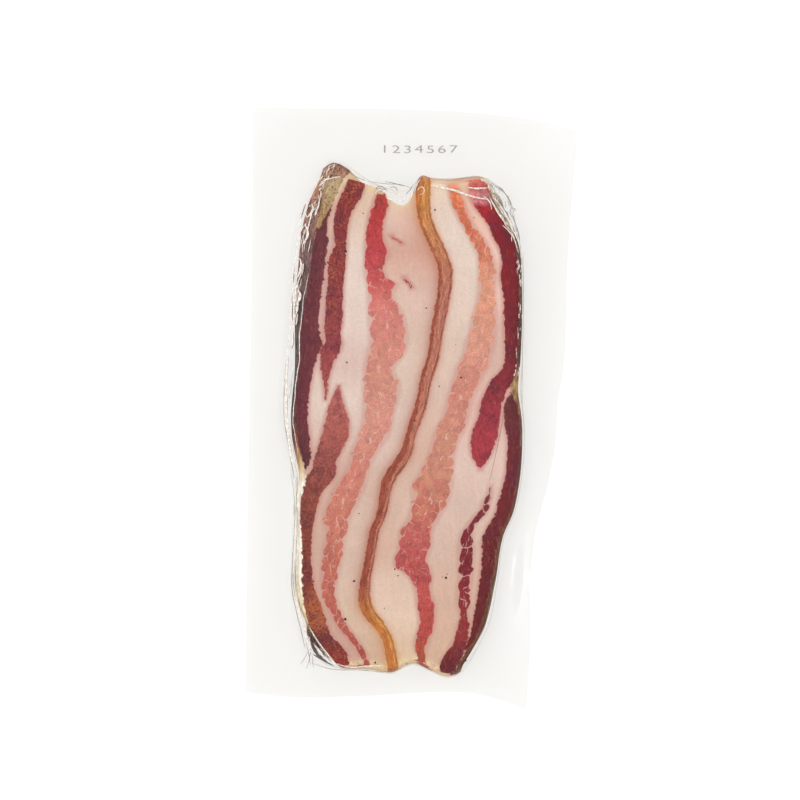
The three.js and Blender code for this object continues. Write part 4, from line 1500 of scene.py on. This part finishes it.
class BACON_OT_creases(bpy.types.Operator):
    """Creases in the film with painted glints and painted shade, and the digits printed on it"""

    bl_idname = "bacon.creases"
    bl_label = "Creases and Print"

    def execute(self, context):
        film = bpy.data.objects.get("film_upper")
        if film is None:
            raise RuntimeError("The creases lie on the film, so the film has to be added first")
        surface = film_surface(film)
        # Ribbons by finish: painted glints, painted faint shade lines and painted shade lines.
        pieces = {"bright": [], "dark": [], "smoky": []}

        def lay(finish, path, width, rows):
            pieces[finish].append(add_ribbon(path, width, surface, rows))

        for finish, folds, rows in FOLDS:
            for width, points in folds:
                lay(finish, curve_path(*points), width, rows)
        for finish, settings, width, rows in LONG_FOLDS:
            lay(finish, wall_path(*settings), width, rows)
        draw = random.Random(CREASE_SEED)
        lay_loops(lay, draw)
        lay_wall_creases(lay, draw)
        lay_edge_creases(lay, draw)
        lay_tufts(lay, draw)
        lay_corner_creases(lay, draw)
        lay_painted_faint_shade_creases(lay, draw)
        # Each finish of ribbons becomes one piece, coloured with its painted glint or painted shade.
        for finish, name, light, dark, cover in CREASE_FINISHES:
            joined = join_as(f"film_{finish}_creases", pieces[finish])
            finish_piece(joined, painted_light_crease_material(name, light, dark, cover), 60)
        digits = add_digits(context.scene.bacon_sizes.digit_height, surface)
        finish_piece(digits, ink_material(colours_of(context.scene)), 30)
        return {"FINISHED"}


class BACON_OT_stage(bpy.types.Operator):
    """Pale floor, soft light and the camera straight above"""

    bl_idname = "bacon.stage"
    bl_label = "Stage"

    def execute(self, context):
        add_floor()
        add_lights(context.scene)
        add_camera(context.scene)
        return {"FINISHED"}


FLOOR_SIZE, FLOOR_GAP = 6, 0.0002  # metres
FLOOR_GLOW = 0.68


def add_floor():
    """A floor lit evenly from within as a light table is, so that it takes hardly any shadow."""
    bpy.ops.object.select_all(action="DESELECT")
    bpy.ops.mesh.primitive_plane_add(size=FLOOR_SIZE)
    floor = bpy.context.object
    floor.name = "floor"
    floor.data.transform(Matrix.Translation((0, 0, -FLOOR_GAP)))
    g = Graph("Pale studio floor")
    colour = g.grey(0.35, 0.36, g.noise(g.millimetres(), 0.004, 2))
    floor.data.materials.append(g.finish(g.surface(
        Base_Color=colour, Roughness=0.9, Specular_IOR_Level=0.1,
        Emission_Color=(1, 1, 1, 1), Emission_Strength=FLOOR_GLOW,
    )))


ZENITH, HORIZON = 0.775, 1.985


def add_lights(scene):
    """A sky that brightens evenly towards the horizon, and strip lamps for glints."""
    world = bpy.data.worlds.new("Studio")
    scene.world = world
    world.use_nodes = True
    tree = world.node_tree
    tree.nodes.clear()
    direction = tree.nodes.new("ShaderNodeTexCoord")
    parts = tree.nodes.new("ShaderNodeSeparateXYZ")
    falloff = tree.nodes.new("ShaderNodeMapRange")
    background = tree.nodes.new("ShaderNodeBackground")
    output = tree.nodes.new("ShaderNodeOutputWorld")
    falloff.interpolation_type = "SMOOTHERSTEP"
    for socket, number in zip(falloff.inputs[1:5], (-0.2, 0.9, HORIZON, ZENITH)):
        socket.default_value = number
    tree.links.new(direction.outputs["Generated"], parts.inputs[0])
    tree.links.new(parts.outputs["Z"], falloff.inputs[0])
    tree.links.new(falloff.outputs[0], background.inputs["Strength"])
    tree.links.new(background.outputs[0], output.inputs["Surface"])
    background.inputs["Color"].default_value = (1, 1, 1, 1)

    for name, place, size, power in (
        ("left_strip", (-0.75, 0.05, 0.62), (0.05, 0.9), 1.0),
        ("left_low_strip", (-0.95, 0.0, 0.25), (0.06, 0.9), 0.6),
        ("right_strip", (0.8, -0.05, 0.6), (0.05, 0.9), 0.5),
        ("far_strip", (0.05, 0.85, 0.55), (0.8, 0.05), 0.5),
    ):
        lamp = bpy.data.lights.new(name, "AREA")
        lamp.shape = "RECTANGLE"
        lamp.size, lamp.size_y = size
        lamp.energy = power
        obj = bpy.data.objects.new(name, lamp)
        scene.collection.objects.link(obj)
        obj.location = place
        obj.rotation_euler = (-Vector(place)).to_track_quat("-Z", "Y").to_euler()
        obj.visible_glossy = name != "left_strip"


# The photograph's framing: millimetres for each of its pixels, and the pixel over the origin.
PHOTO_SIDE = 800
MM_PER_PIXEL = 0.4615
ORIGIN_PIXEL = (411, 408)
LENS, SENSOR = 200, 36


def add_camera(scene):
    data = bpy.data.cameras.new("Camera")
    data.lens, data.sensor_width = LENS, SENSOR
    camera = bpy.data.objects.new("Camera", data)
    scene.collection.objects.link(camera)
    width = PHOTO_SIDE * MM_PER_PIXEL * MM
    middle = PHOTO_SIDE / 2
    camera.location = (
        (middle - ORIGIN_PIXEL[0]) * MM_PER_PIXEL * MM,
        (ORIGIN_PIXEL[1] - middle) * MM_PER_PIXEL * MM,
        width * LENS / SENSOR,
    )
    scene.camera = camera
    scene.view_settings.view_transform = "Standard"


class BACON_PT_panel(bpy.types.Panel):
    """The pieces of the pouch and what can be changed"""

    bl_label = "Bacon Pouch"
    bl_space_type = "VIEW_3D"
    bl_region_type = "UI"
    bl_category = "Bacon"

    def draw(self, context):
        layout = self.layout
        for group in (context.scene.bacon_sizes, context.scene.bacon_colours):
            for name in group.__annotations__:
                layout.prop(group, name)
        for operator in OPERATORS:
            layout.operator(operator.bl_idname)


OPERATORS = (BACON_OT_stage, BACON_OT_piles, BACON_OT_film, BACON_OT_creases)
CLASSES = (BaconSizes, BaconColours, *OPERATORS, BACON_PT_panel)


def register():
    for cls in CLASSES:
        bpy.utils.register_class(cls)
    bpy.types.Scene.bacon_sizes = bpy.props.PointerProperty(type=BaconSizes)
    bpy.types.Scene.bacon_colours = bpy.props.PointerProperty(type=BaconColours)


def unregister():
    del bpy.types.Scene.bacon_colours
    del bpy.types.Scene.bacon_sizes
    for cls in reversed(CLASSES):
        bpy.utils.unregister_class(cls)


def main():
    register()
    bpy.ops.bacon.stage()
    bpy.ops.bacon.piles()
    bpy.ops.bacon.film()
    bpy.ops.bacon.creases()


if __name__ == "__main__":
    main()
